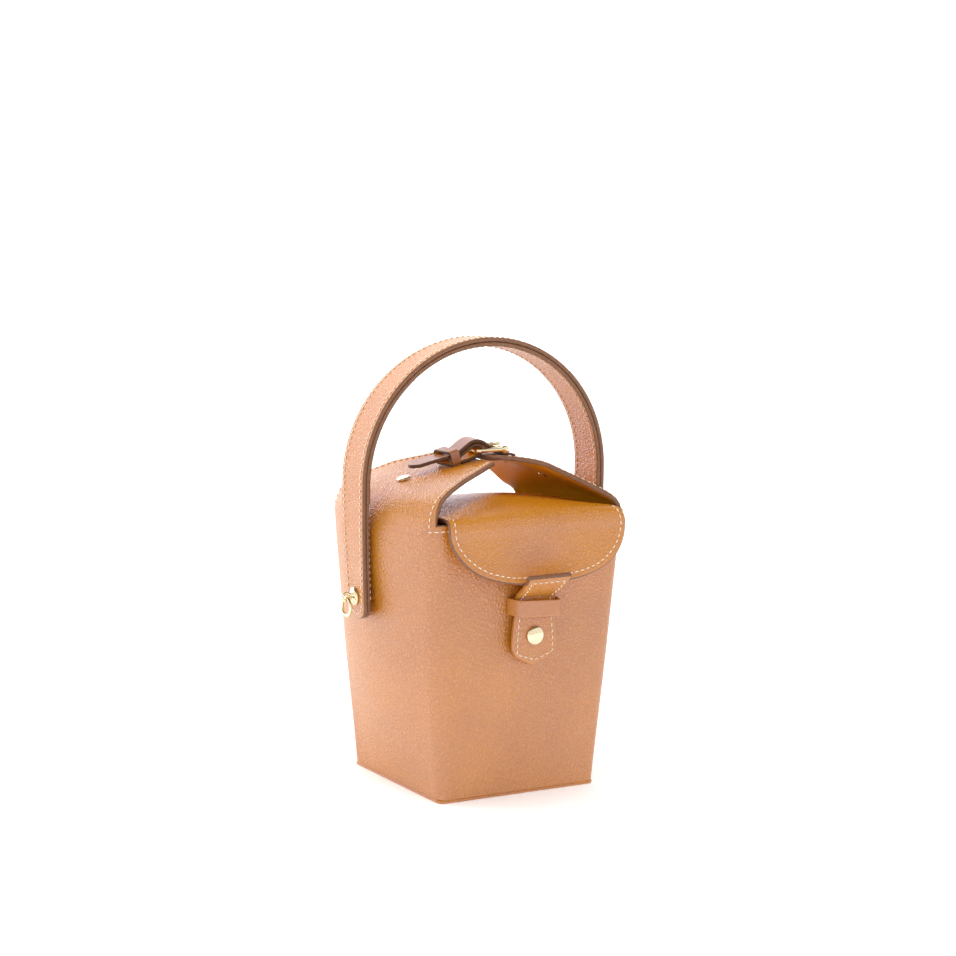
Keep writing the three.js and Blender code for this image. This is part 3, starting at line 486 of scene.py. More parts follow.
def stitch_row(path, normals):
    """Stitches along a path on a surface: each is a tube that bows up from one hole and down into the next.

    Its radius falls to a third at the ends, and its centre follows a parabola from just under the leather.
    """
    run = np.concatenate([[0], np.cumsum(np.linalg.norm(np.diff(path, axis=0), axis=1))])
    count = max(1, int(run[-1] / STITCH_PITCH))
    centre = (np.arange(count) + 0.5) * run[-1] / count
    share = np.linspace(-1, 1, STITCH_RINGS)
    at = centre[:, None] + share * STITCH_LENGTH / 2
    spot = np.stack([np.interp(at, run, path[:, k]) for k in range(3)], axis=-1)
    normal = unit(np.stack([np.interp(at, run, normals[:, k]) for k in range(3)], axis=-1))
    ahead = unit(np.gradient(spot, axis=1))
    side = np.cross(ahead, normal)
    radius = STITCH_RADIUS * (1 - 0.67 * share ** 4)
    lift = STITCH_LIFT + 0.35 * STITCH_RADIUS - (STITCH_LIFT + STITCH_RADIUS) * share ** 4
    angle = 2 * np.pi * np.arange(STITCH_SIDES) / STITCH_SIDES
    ring = (side[:, :, None] * np.cos(angle)[:, None] + normal[:, :, None] * np.sin(angle)[:, None])
    points = (spot + normal * lift[:, None])[:, :, None] + ring * radius[None, :, None, None]
    ids = np.arange(count * STITCH_RINGS * STITCH_SIDES).reshape(count, STITCH_RINGS, STITCH_SIDES)
    turned = np.roll(ids, -1, axis=2)
    tube = np.stack([ids[:, :-1], ids[:, 1:], turned[:, 1:], turned[:, :-1]], axis=-1).reshape(-1, 4)
    caps = ids[:, 0].tolist() + ids[:, -1, ::-1].tolist()
    return points.reshape(-1, 3), tube.tolist() + caps


def join(parts):
    """Several meshes as one: their points in a row, and their faces counted on."""
    points = np.concatenate([part[0] for part in parts])
    starts = np.cumsum([0] + [len(part[0]) for part in parts[:-1]])
    faces = [[corner + first for corner in face] for first, part in zip(starts, parts) for face in part[1]]
    return points, faces


def thread_material():
    """Linen thread, three plies twisted and waxed: cream, fairly matt, with the small ridges of the twist."""
    material, shader, place = new_material("waxed_linen_thread")
    twist = noise(material, place, TWIST_MM).outputs["Fac"]
    set_inputs(material, shader, {
        "Base Color": blend(material, twist, linear("#d9c3a4"), linear("#fff6e8")),
        "Roughness": 0.6,
        "Normal": bumped(material, twist, TWIST_DEPTH_MM),
    })
    return material


THREAD = thread_material()


def on_body(panel, along, row):
    """Points on one wall of the wrap, and the wall's outward directions there."""
    def wall(u, v):
        return body_at(panel, v, u)

    return wall(along, row), normals_at(wall, along, row)


def body_stitches(end_panel, first_panel, last_panel):
    """One row round the front or the back, read from left to right as seen from there: down the flap on the
    left, along the top of the end wall and up the other flap, on the wrap's own surface."""
    up = np.linspace(BODY_STITCH_ROW, RIDGE_ROW - RIDGE_STOP_ROWS, FLAP_PATH_STEPS)
    change = np.clip((up - SHOULDER_ROW) / INSET_CHANGE_ROWS, 0, 1)
    inset = BODY_STITCH_INSET + (FLAP_STITCH_INSET - BODY_STITCH_INSET) * change
    inset = inset / smooth(LEFT_ROWS["edge_y"], up)
    flat = np.full(TURN_PATH_STEPS, BODY_STITCH_ROW)
    near = np.linspace(1 - inset[0], 1, TURN_PATH_STEPS + 1)[:-1]
    across = np.linspace(-1, 1, WALL_PATH_STEPS)
    legs = (
        on_body(first_panel, np.concatenate([1 - inset[::-1], near]), np.concatenate([up[::-1], flat])),
        on_body(end_panel, across, np.full(WALL_PATH_STEPS, BODY_STITCH_ROW)),
        on_body(last_panel, np.concatenate([-near[::-1], inset - 1]), np.concatenate([flat, up])),
    )
    path, normals = (np.concatenate(part) for part in zip(*legs))
    return stitch_row(path, normals)


body_thread = join([body_stitches(FRONT, LEFT, RIGHT), body_stitches(BACK, RIGHT, LEFT)])
add_piece("body_wrap_stitching", *body_thread, [THREAD], "grained_leather")

# Base panel
# A square of leather board, 2 mm thick with round corners, glued under the walls. Its edge is covered with
# the walls' own leather and shows as a thin line on the floor.
BASE_THICK = 2.0
BASE_CORNER = 4.0
BASE_CORNER_STEPS = 10
BASE_EDGE_INSET = 0.8
BASE_EDGE_STEPS = 9


def rounded_outline(half_x, half_y, radius, steps):
    """A rectangle with round corners, as points and outward directions: four quarter circles in a row."""
    angle = np.concatenate([np.linspace(0, np.pi / 2, steps + 1) + k * np.pi / 2 for k in range(4)])
    outward = np.column_stack([np.cos(angle), np.sin(angle)])
    corner = np.repeat([[1, 1], [-1, 1], [-1, -1], [1, -1]], steps + 1, axis=0)
    return corner * np.array([half_x - radius, half_y - radius]) + radius * outward, outward


def base_panel():
    """The outline carried through a half ellipse, which rounds the board's edge, with two flat faces."""
    outline, outward = rounded_outline(BASE_HALF, BASE_HALF, BASE_CORNER, BASE_CORNER_STEPS)
    angle = np.linspace(-np.pi / 2, np.pi / 2, BASE_EDGE_STEPS)
    inset = BASE_EDGE_INSET * (1 - np.cos(angle))
    level = BASE_THICK / 2 * (1 + np.sin(angle))
    rings = outline[None] - inset[:, None, None] * outward[None]
    points = np.concatenate([rings, np.broadcast_to(level[:, None, None], (*rings.shape[:2], 1))], axis=-1)
    ids = np.arange(rings.shape[0] * rings.shape[1]).reshape(rings.shape[:2])
    turned = np.roll(ids, -1, axis=1)
    sides = np.stack([ids[:-1], turned[:-1], turned[1:], ids[1:]], axis=-1).reshape(-1, 4).tolist()
    faces = sides + [ids[0, ::-1].tolist(), ids[-1].tolist()]
    return points.reshape(-1, 3), faces, np.repeat([1, 0], [len(sides), 2])


# Board pressed from leather fibres: matt brown with blurred patches
BOARD, _ = mottled("leather_board", "#a8662a", "#8c5018", patch_mm=3.0, roughness=0.6, relief_mm=0.06)
base_points, base_faces, base_kinds = base_panel()
add_piece("base_panel_board", base_points, base_faces, [BOARD, LEATHER], "base_leather", "base_panel",
          base_kinds)

# Lid
# One bent sheet of the same leather, 2.6 mm thick: a round tongue over the front wall, the top, which sags
# towards its long edges, and a strip that is sewn to the back wall. It is stitched all along its edge.
LID_THICK = 2.6
LID = table(
    "x y z half drop",
    (1.3, -80.0, 132.0, 58.5, 0.0),
    (1.3, -77.4, 139.8, 58.5, 0.0),
    (1.3, -74.0, 149.2, 58.5, 0.0),
    (1.3, -71.2, 158.0, 58.5, 0.0),
    (1.2, -69.9, 165.0, 58.4, 0.3),
    (1.0, -66.2, 170.6, 57.2, 1.2),
    (0.8, -56.0, 172.9, 55.4, 3.0),
    (0.6, -34.0, 174.0, 53.5, 5.8),
    (0.4, -12.0, 173.2, 53.0, 6.4),
    (0.2, 10.0, 170.2, 52.5, 6.0),
    (0.0, 32.0, 166.1, 52.0, 4.4),
    (0.0, 50.0, 162.4, 51.5, 2.2),
    (0.0, 60.0, 160.0, 50.5, 0.8),
    (0.0, 65.9, 155.4, 49.5, 0.0),
    (0.0, 66.4, 148.0, 49.0, 0.0),
    (0.0, 66.1, 140.0, 49.0, 0.0),
    (0.0, 65.9, 132.0, 48.5, 0.0),
)
LID_LAST_ROW = len(LID["x"]) - 1
TONGUE_SHOULDER_ROW = 3.6
TONGUE_TOP_ROW = 4.6
TONGUE_POWER = 2.2
TONGUE_STEPS = 44
LID_STEPS = 110
LID_COLUMNS = 90
LID_STITCH_INSET = 3.0
LID_STITCH_TOP_ROW = 5.4
STRIP_TOP_ROW = 13.0
TONGUE_ROW_MM = 8.4
TONGUE_PATH_STEPS = 160
SIDE_PATH_STEPS = 60
TONGUE_DENT = 4.6
TONGUE_DENT_ROW = 1.25
TONGUE_DENT_ROWS = 1.1
TONGUE_DENT_WIDTH = 0.28


def lid_at(across, row):
    """The lid's outer face: the centre line and half width are smooth, and the long edges drop as a parabola.

    The closure tab pulls a shallow dent into the tongue just above itself, a bell curve both ways.
    """
    x, y, z, half, drop = (smooth(LID[name], row) for name in ("x", "y", "z", "half", "drop"))
    bell = ((row - TONGUE_DENT_ROW) / TONGUE_DENT_ROWS) ** 2 + (across / TONGUE_DENT_WIDTH) ** 2
    y = y + TONGUE_DENT * np.exp(-bell)
    return as_points(x + half * across, y, z - drop * across ** 2)


def tongue_edge(across, lowest=0.0):
    """The row where a column of the tongue starts: a superellipse from its lowest row to its shoulders."""
    arch = (1 - np.abs(across) ** TONGUE_POWER) ** (1 / TONGUE_POWER)
    return TONGUE_SHOULDER_ROW - (TONGUE_SHOULDER_ROW - lowest) * arch


def lid_grid():
    """Columns crowd towards the long edges, and each starts on the tongue's own round edge."""
    across = np.sin(np.linspace(-np.pi / 2, np.pi / 2, LID_COLUMNS + 1))[None, :]
    share = np.linspace(0, 1, TONGUE_STEPS + 1)[:-1, None]
    edge = tongue_edge(across)
    tongue = lid_at(across, edge + (TONGUE_TOP_ROW - edge) * share)
    rest = lid_at(across, np.linspace(TONGUE_TOP_ROW, LID_LAST_ROW, LID_STEPS + 1)[:, None])
    return np.concatenate([tongue, rest])


add_leather("lid", leather_sheet(lid_grid(), LID_THICK), [LEATHER, LIT_FLESH, EDGE_PAINT])


def lid_stitches():
    """Round the tongue inside its edge, from where the lid comes out under one flap to the other; and round
    the strip on the back wall."""
    width = 1 - LID_STITCH_INSET / LID["half"][0]
    inset_rows = LID_STITCH_INSET / TONGUE_ROW_MM
    side = np.ones(SIDE_PATH_STEPS)
    turn = np.sin(np.linspace(-np.pi / 2, np.pi / 2, TONGUE_PATH_STEPS))
    tongue_row = tongue_edge(turn, inset_rows)
    side_row = np.linspace(LID_STITCH_TOP_ROW, TONGUE_SHOULDER_ROW, SIDE_PATH_STEPS)
    strip = np.linspace(1, -1, TONGUE_PATH_STEPS)
    strip_row = np.linspace(STRIP_TOP_ROW, LID_LAST_ROW - inset_rows, SIDE_PATH_STEPS)
    strip_end = np.full(TONGUE_PATH_STEPS, strip_row[-1])
    runs = (
        ((-side, turn, side), (side_row, tongue_row, side_row[::-1])),
        ((side, strip, -side), (strip_row, strip_end, strip_row[::-1])),
    )
    rows = []
    for run in runs:
        across, row = (np.concatenate(part) for part in run)
        path = lid_at(width * across, row)
        moved = np.concatenate([[True], np.linalg.norm(np.diff(path, axis=0), axis=1) > 1e-4])
        rows.append(stitch_row(path[moved], normals_at(lid_at, width * across, row)[moved]))
    return join(rows)


add_piece("lid_stitching", *lid_stitches(), [THREAD], "grained_leather")

# Closure tab
# A pointed strap of leather, 3 mm thick. It hangs a few millimetres off the front wall, and above its keeper
# it bends out past the tongue's lower edge. A saddle stitch runs round it.
TAB_THICK = 3.0
TAB = table(
    "x y z half",
    (0.0, -69.0, 81.3, 14.2),
    (0.0, -69.3, 92.5, 14.2),
    (0.0, -69.4, 103.5, 13.6),
    (0.0, -69.3, 112.0, 12.3),
    (0.0, -69.5, 120.5, 12.0),
    (0.0, -73.0, 123.8, 12.3),
    (-0.2, -78.4, 127.5, 12.8),
    (-0.7, -83.6, 131.8, 13.3),
    (-1.0, -88.0, 136.0, 13.7),
)
TAB_LAST_ROW = len(TAB["y"]) - 1
TAB_POINT_ROWS = 0.62
TAB_SHOULDER_ROWS = 0.34
TAB_STEPS = 90
TAB_COLUMNS = 30
TAB_STITCH_INSET = 2.4
TAB_STITCH_TOP_ROWS = 0.6
TAB_STITCH_POINT_ROW = 0.28
TAB_STITCH_SHOULDER_ROW = 1.05 * TAB_POINT_ROWS
TAB_PATH_STEPS = 100
TAB_PAINT_FROM_Z = 132.0


def tab_at(across, row):
    """The tab's outer face: a smooth centre line from its point up to its free end, and a half width."""
    x, y, z, half = (smooth(TAB[name], row) for name in ("x", "y", "z", "half"))
    return as_points(x + half * across, y, z)


def tab_grid():
    """Each column starts on the pointed end's slanting edge."""
    across = np.linspace(-1, 1, TAB_COLUMNS + 1)[None, :]
    start = TAB_POINT_ROWS * np.abs(across) + TAB_SHOULDER_ROWS * across ** 8
    share = np.linspace(0, 1, TAB_STEPS + 1)[:, None]
    return tab_at(across, start + (TAB_LAST_ROW - start) * share)


tab_points, tab_quads, tab_kinds = leather_sheet(tab_grid(), TAB_THICK)
tab_kinds[(tab_kinds == 2) & (tab_points[tab_quads][:, :, 2].mean(axis=1) < TAB_PAINT_FROM_Z)] = 0
add_leather("closure_tab", (tab_points, tab_quads, tab_kinds), [LEATHER, LIT_FLESH, EDGE_PAINT])


def tab_stitches():
    """Down one side, round the point, up the other side and across the top, inset from the tab's edge."""
    width = 1 - TAB_STITCH_INSET / TAB["half"][0]
    top = TAB_LAST_ROW - TAB_STITCH_TOP_ROWS
    low, shoulder = TAB_STITCH_POINT_ROW, TAB_STITCH_SHOULDER_ROW
    across = np.array([-width, -width, 0, width, width, -width])
    row = np.array([top, shoulder, low, shoulder, top, top])
    sides = len(row) - 1
    share = np.linspace(0, sides, sides * TAB_PATH_STEPS + 1)
    across, row = (np.interp(share, np.arange(sides + 1), corner) for corner in (across, row))
    return stitch_row(tab_at(across, row), normals_at(tab_at, across, row))


add_piece("closure_tab_stitching", *tab_stitches(), [THREAD], "grained_leather")

# Tab keeper
# A plain strip of smooth leather, 1.6 mm thick, across the tab. Its ends bend back beside the tab to the
# front wall, where they are glued.
KEEPER_X = 1.2
KEEPER_BOW = 1.3
KEEPER_Z = 115.6
KEEPER_HEIGHT = 9.2
KEEPER_HALF = 17.0
KEEPER_FLAT = 12.0
KEEPER_THICK = 1.6
KEEPER_FACE_Y = -74.3
KEEPER_WALL_Y = -64.0
KEEPER_TILT = 0.06
KEEPER_COLUMNS = 60
KEEPER_ROWS = 10


def tab_keeper_grid():
    """Flat over the tab, then a parabola back to the wall on both sides; the same at every height."""
    x = np.linspace(-KEEPER_HALF, KEEPER_HALF, KEEPER_COLUMNS + 1)[None, :]
    z = KEEPER_Z + np.linspace(-0.5, 0.5, KEEPER_ROWS + 1)[:, None] * KEEPER_HEIGHT - KEEPER_TILT * x
    share = np.clip((np.abs(x) - KEEPER_FLAT) / (KEEPER_HALF - KEEPER_FLAT), 0, 1)
    y = KEEPER_FACE_Y + (KEEPER_WALL_Y - KEEPER_FACE_Y) * share ** 2
    x = KEEPER_X + x - KEEPER_BOW * (1 - (x / KEEPER_HALF) ** 2)
    return as_points(x, y, z)


# The same hide ironed flat: the pebbles are small and hardly stand up
PLAIN_LEATHER = pebbled_leather("smooth_cow_leather", HIDE, HIDE_CREASE_SHADE, grain_mm=1.2, grain_depth_mm=0.04)
tab_keeper_sheet = leather_sheet(tab_keeper_grid(), KEEPER_THICK)
add_leather("tab_keeper", tab_keeper_sheet, [PLAIN_LEATHER, LIT_FLESH, PLAIN_LEATHER])

# Tab stud
# A plain domed stud of turned brass, gold plated and polished. Its post is pressed into a hole through the
# tab.
STUD_SEAT = np.array([0.0, -69.4, 99.0])
STUD_RADIUS = 5.6
STUD_HEIGHT = 2.6
STUD_LIFT = 0.2
STUD_FOOT = 0.6
STUD_POST = 1.4
STUD_POST_DEPTH = 2.7
TURNED_SIDES = 48
DOME_STEPS = 12
HAZE_MM = 3.0
WAVE_DEPTH_MM = 0.06


def turned_piece(profile, seat, axis):
    """A profile of (radius, height) turned about an axis on a seat; it starts and ends on the axis."""
    axis = unit(np.asarray(axis, float))
    helper = np.array([0.0, 0.0, 1.0]) if abs(axis[2]) < 0.9 else np.array([0.0, 1.0, 0.0])
    east = unit(np.cross(helper, axis))
    north = np.cross(axis, east)
    radius, height = np.array(profile, float).T
    angle = 2 * np.pi * np.arange(TURNED_SIDES) / TURNED_SIDES
    round_about = np.cos(angle)[:, None] * east + np.sin(angle)[:, None] * north
    rings = seat + radius[1:-1, None, None] * round_about + height[1:-1, None, None] * axis
    ends = seat + height[[0, -1], None] * axis
    ids = np.arange(rings.shape[0] * TURNED_SIDES).reshape(-1, TURNED_SIDES)
    beside = np.roll(ids, -1, axis=1)
    bands = np.stack([ids[:-1], beside[:-1], beside[1:], ids[1:]], axis=-1).reshape(-1, 4)
    first, last = ids.size, ids.size + 1
    bottom = np.stack([beside[0], ids[0], np.full(TURNED_SIDES, first)], axis=-1)
    top = np.stack([ids[-1], beside[-1], np.full(TURNED_SIDES, last)], axis=-1)
    return np.concatenate([rings.reshape(-1, 3), ends]), bands.tolist() + bottom.tolist() + top.tolist()


def polished_gold(name):
    """Brass plated with pale gold and buffed: a clear mirror with very faint waves and hazy finger marks."""
    material, shader, place = new_material(name)
    haze = noise(material, place, HAZE_MM, detail=3.0).outputs["Fac"]
    set_inputs(material, shader, {
        "Base Color": blend(material, haze, linear("#ead4a6"), linear("#faf0d6")),
        "Metallic": 1.0,
        "Roughness": remap(material, haze, 0.0, 1.0, 0.08, 0.24),
        "Normal": bumped(material, haze, WAVE_DEPTH_MM),
    })
    return material


GOLD = polished_gold("gold_plated_brass")


def dome(radius, height, foot):
    """Profile of a domed cap on a short straight foot: a quarter of an ellipse, from its rim to the axis."""
    angle = np.linspace(0, np.pi / 2, DOME_STEPS)
    return np.column_stack([radius * np.cos(angle), foot + (height - foot) * np.sin(angle)]).tolist()


stud_post = [(0, -STUD_POST_DEPTH), (STUD_POST, -STUD_POST_DEPTH), (STUD_POST, STUD_LIFT)]
stud_head = [(STUD_RADIUS, STUD_LIFT)] + dome(STUD_RADIUS, STUD_HEIGHT, STUD_FOOT)
stud = turned_piece(stud_post + stud_head, STUD_SEAT, (0, -1, 0))
add_piece("tab_stud_dome", *stud, [GOLD], "gold_plate", "tab_stud")

# Handle
# An arch of two leather plies, 25 mm wide, glued back to back and stitched along both edges. The outer ply
# runs down to two round ends, and short inner plies meet the arch's inner ply in a butt joint.
HANDLE_X = -1.1
HANDLE_HALF = 12.5
PLY_THICK = 2.5
END_PLY_THICK = 1.6
PLY_GAP = 0.3
INNER_FACE = 79.9
OUTER_FACE = INNER_FACE + PLY_GAP + PLY_THICK
SPRING_Z = 184.0
HANDLE_BACK_DIP = 2.0
LEG = 80.0
LEG_JOINT = 11.0
LEG_PULL = 3.7
LEG_TURN = 1.9
END_DEPTH = 7.0
END_REACH = 4.0
ROUND_END = LEG - END_DEPTH - END_REACH
HANDLE_COLUMNS = 20
ARC_STEPS = 150
LEG_STEPS = 44
END_STEPS = 16
HANDLE_STITCH_INSET = 2.5
INNER_PLY_STEPS = ARC_STEPS + 20
HANDLE_PATH_STEPS = 600
END_PATH_STEPS = 40


def handle_at(radius, across, distance):
    """The handle's face at a distance along it: the right leg runs up to 0, then half a circle, then the left
    leg. The back edge dips at the top, and the legs are pulled in and turned with the square of depth."""
    arc = np.pi * radius
    angle = np.clip(distance / radius, 0, np.pi)
    below = np.maximum(np.maximum(-distance, distance - arc), 0)
    pull = (below / LEG) ** 2 * (LEG_PULL + LEG_TURN * across)
    x = HANDLE_X + (radius - pull) * np.cos(angle)
    z = SPRING_Z + (radius - HANDLE_BACK_DIP * (across + 1) / 2) * np.sin(angle) - below
    return as_points(x, HANDLE_HALF * across, z)


def round_end(across, inset=0.0):
    """Depth of a leg's tip: half an ellipse across the strap, less an inset."""
    return LEG - inset - END_DEPTH * (1 - np.sqrt(np.clip(1 - across ** 2, 0, 1)))


def leg_rows(across, top):
    """Depths from a leg's round tip up to a level, for every column."""
    share = np.linspace(0, 1, END_STEPS + 1)[:-1, None]
    tip = round_end(across)
    end = tip + (ROUND_END - tip) * share
    leg = np.linspace(ROUND_END, top, LEG_STEPS + 1)[:, None] + np.zeros_like(across)
    return np.concatenate([end, leg])


def strap_columns(count):
    """Stations across a strap, closer together towards its edges."""
    return np.sin(np.linspace(-np.pi / 2, np.pi / 2, count + 1))[None, :]


def outer_ply_grid():
    """From the right leg's tip over the arch to the left leg's tip."""
    across = strap_columns(HANDLE_COLUMNS)
    leg = leg_rows(across, 0.0)
    arc = np.pi * OUTER_FACE
    middle = np.linspace(0, arc, ARC_STEPS + 1)[1:-1, None] + np.zeros_like(across)
    return handle_at(OUTER_FACE, across, np.concatenate([-leg, middle, arc + leg[::-1]]))


def inner_ply_grid():
    """The arch's inner ply, from one butt joint to the other."""
    across = strap_columns(HANDLE_COLUMNS)
    arc = np.pi * INNER_FACE
    reach = LEG_JOINT - PLY_GAP
    return handle_at(INNER_FACE, across, np.linspace(-reach, arc + reach, INNER_PLY_STEPS + 1)[:, None])


def end_ply_grid(sign):
    """The short ply behind one leg, from its round tip up to the butt joint."""
    across = strap_columns(HANDLE_COLUMNS)
    leg = leg_rows(across, LEG_JOINT)
    distance = -leg if sign > 0 else np.pi * INNER_FACE + leg[::-1]
    return handle_at(INNER_FACE, across, distance)


# The same hide cut for the strap, so that its pebbles are longer across it
STRAP_LEATHER = pebbled_leather("pebbled_strap_leather", HIDE, HIDE_CREASE_SHADE, grain_mm=1.8,
                                grain_depth_mm=0.22, stretch=(1.0, 1.8, 1.0))
plies = {
    "handle_outer_ply": outer_ply_grid(),
    "handle_inner_ply": inner_ply_grid(),
    "handle_end_ply_left": end_ply_grid(-1),
    "handle_end_ply_right": end_ply_grid(1),
}
for ply, grid in plies.items():
    ply_sheet = leather_sheet(grid, END_PLY_THICK if "end" in ply else PLY_THICK)
    add_leather(ply, ply_sheet, [STRAP_LEATHER, STRAP_LEATHER, EDGE_PAINT])


def handle_stitches():
    """A closed row round the outer ply's face, and a row along each edge of the inner ply's face."""
    width = 1 - HANDLE_STITCH_INSET / HANDLE_HALF
    arc = np.pi * OUTER_FACE
    turn = np.linspace(-1, 1, END_PATH_STEPS)
    tip = round_end(turn, HANDLE_STITCH_INSET)
    run = np.linspace(-tip[0], arc + tip[0], HANDLE_PATH_STEPS)
    edge = np.ones(HANDLE_PATH_STEPS)
    across = width * np.concatenate([-edge, turn, edge, turn[::-1]])
    distance = np.concatenate([run, arc + tip, run[::-1], -tip])

    def outside(u, v):
        return handle_at(OUTER_FACE, u, v)

    def inside(u, v):
        return handle_at(inside_radius, u, v)

    rows = [stitch_row(outside(across, distance), normals_at(outside, across, distance))]
    inside_radius = INNER_FACE - PLY_THICK
    run = np.linspace(-ROUND_END, np.pi * inside_radius + ROUND_END, HANDLE_PATH_STEPS)
    for across in (-width * edge, width * edge):
        rows.append(stitch_row(inside(across, run), -normals_at(inside, across, run)))
    return join(rows)


add_piece("handle_stitching", *handle_stitches(), [THREAD], "grained_leather")

# Handle studs and side rings
# Each leg is held to its side wall by a turned brass stud with a domed head and a cast eye. A closed ring of
# thick wire hangs in the eye for a shoulder strap. All are gold plated.
HANDLE_STUD_Z = 117.0
HANDLE_STUD_HEAD = 5.4
HANDLE_STUD_HEIGHT = 2.8
HANDLE_STUD_FOOT = 0.8
HANDLE_STUD_LIFT = 0.2
HANDLE_STUD_POST = 1.6
HANDLE_WASHER = 4.4
HANDLE_WASHER_FROM = -13.0
HANDLE_WASHER_TO = -11.8
HANDLE_WASHER_BEVEL = 0.2
EYE_COLLAR = [(2.3, 3.0), (1.7, 3.4), (0, 3.5)]
COLLAR_DOME_STEPS = 4
EYE_RADIUS = 2.4
EYE_WIRE = 0.85
EYE_OFFSET = 5.6
RING_RADIUS = 5.3
RING_WIRE = 0.95
RING_HANG = 0.35


def ring_faces(steps, sides):
    """Quads of a tube that closes on itself, from rings of points in order."""
    ids = np.arange(steps * sides).reshape(steps, sides)
    ahead = np.roll(ids, -1, axis=0)
    quads = np.stack([ids, ahead, np.roll(ahead, -1, axis=1), np.roll(ids, -1, axis=1)], axis=-1)
    return quads.reshape(-1, 4).tolist()


def wire_ring(centre, first, second, radius, wire, sides=14, steps=56):
    """A closed ring of round wire: a small circle carried round a large one that two directions span."""
    large = 2 * np.pi * np.arange(steps)[:, None] / steps
    small = 2 * np.pi * np.arange(sides)[None, :] / sides
    radial = np.cos(large)[..., None] * first + np.sin(large)[..., None] * second
    across = np.cross(first, second)
    points = centre + radial * (radius + wire * np.cos(small))[..., None]
    points = points + across * (wire * np.sin(small))[..., None]
    return points.reshape(-1, 3), ring_faces(steps, sides)


for name, sign in (("left", -1), ("right", 1)):
    depth = SPRING_Z - HANDLE_STUD_Z
    distance = np.array(-depth if sign > 0 else np.pi * OUTER_FACE + depth)
    seat = handle_at(OUTER_FACE, np.array(0.0), distance)
    turn = (depth / LEG) ** 2 * LEG_TURN / HANDLE_HALF
    slope = 2 * depth / LEG ** 2 * LEG_PULL
    axis = unit(np.array([sign, turn, -slope]))
    washer = [
        (0, HANDLE_WASHER_FROM),
        (HANDLE_WASHER, HANDLE_WASHER_FROM),
        (HANDLE_WASHER, HANDLE_WASHER_TO),
        (HANDLE_STUD_POST, HANDLE_WASHER_TO + HANDLE_WASHER_BEVEL),
    ]
    post = [(HANDLE_STUD_POST, HANDLE_STUD_LIFT), (HANDLE_STUD_HEAD, HANDLE_STUD_LIFT)]
    head = dome(HANDLE_STUD_HEAD, HANDLE_STUD_HEIGHT, HANDLE_STUD_FOOT)[:-COLLAR_DOME_STEPS]
    bolt = turned_piece(washer + post + head + EYE_COLLAR, seat, axis)
    eye_centre = seat + EYE_OFFSET * axis
    along_z = unit(np.array([0.0, 0.0, 1.0]) - axis[2] * axis)
    eye = wire_ring(eye_centre, axis, along_z, EYE_RADIUS, EYE_WIRE)
    add_piece(f"handle_stud_{name}_metal", *join([bolt, eye]), [GOLD], "gold_plate", f"handle_stud_{name}")
    ring_centre = eye_centre - np.array([0, 0, RING_RADIUS + RING_HANG])
    north, up = np.array([0.0, 1.0, 0.0]), np.array([0.0, 0.0, 1.0])
    ring = wire_ring(ring_centre, north, up, RING_RADIUS, RING_WIRE)
    add_piece(f"side_ring_{name}_wire", *ring, [GOLD], "gold_plate", f"side_ring_{name}")

# Flap rivets and tail rivet
# Double-cap rivets of gold plated brass: one on the middle line of each flap, and a small one that holds the
# tail strap to the right flap. The cap outside is a low dome, and the cap inside is smaller and flatter.
LEFT_RIVET_X = 49.5
RIGHT_RIVET_X = 47.0
TAIL_RIVET_X = 20.0
TAIL_RIVET_LIFT = 2.7
SEAT_STEPS = 400
TAIL_THROUGH = WALL_THICK + TAIL_RIVET_LIFT
FLAP_RIVET = {"cap": 4.2, "cap_thick": 1.3, "shank": 1.5, "lift": 0.5, "through": WALL_THICK}
TAIL_RIVET = {"cap": 1.9, "cap_thick": 0.9, "shank": 0.9, "lift": 0.3, "through": TAIL_THROUGH}


def flap_seat(rows, distance):
    """Point and outward direction on a flap's middle line at a distance from the ridge's centre."""
    row = np.linspace(SHOULDER_ROW, RIDGE_ROW, SEAT_STEPS)
    middle = side_at(rows, row, np.zeros_like(row))
    k = int(np.argmin(np.abs(np.abs(middle[:, 0]) - distance)))
    slope = unit(middle[k + 1] - middle[k - 1])
    axis = np.cross([0.0, 1.0, 0.0], slope)
    return middle[k], axis * np.sign(axis[2])


def cap_rivet(cap, cap_thick, shank, lift, through):
    """Profile of a rivet: a bevelled disc behind what it goes through, the shank, and a low dome in front."""
    washer = [(0, -through - 0.9), (0.6 * cap, -through - 0.8), (0.7 * cap, -through - 0.4)]
    stem = [(0.7 * cap, -through - 0.1), (shank, -through - 0.1), (shank, lift), (cap, lift)]
    return washer + stem + dome(cap, lift + cap_thick, lift + 0.35 * cap_thick)


for name, rows, distance in (("left", LEFT_ROWS, LEFT_RIVET_X), ("right", RIGHT_ROWS, RIGHT_RIVET_X)):
    seat, axis = flap_seat(rows, distance)
    rivet = turned_piece(cap_rivet(**FLAP_RIVET), seat, axis)
    add_piece(f"flap_rivet_{name}_cap", *rivet, [GOLD], "gold_plate", f"flap_rivet_{name}")
seat, axis = flap_seat(RIGHT_ROWS, TAIL_RIVET_X)
rivet = turned_piece(cap_rivet(**TAIL_RIVET), seat + TAIL_RIVET_LIFT * axis, axis)
add_piece("tail_rivet_cap", *rivet, [GOLD], "gold_plate", "tail_rivet")

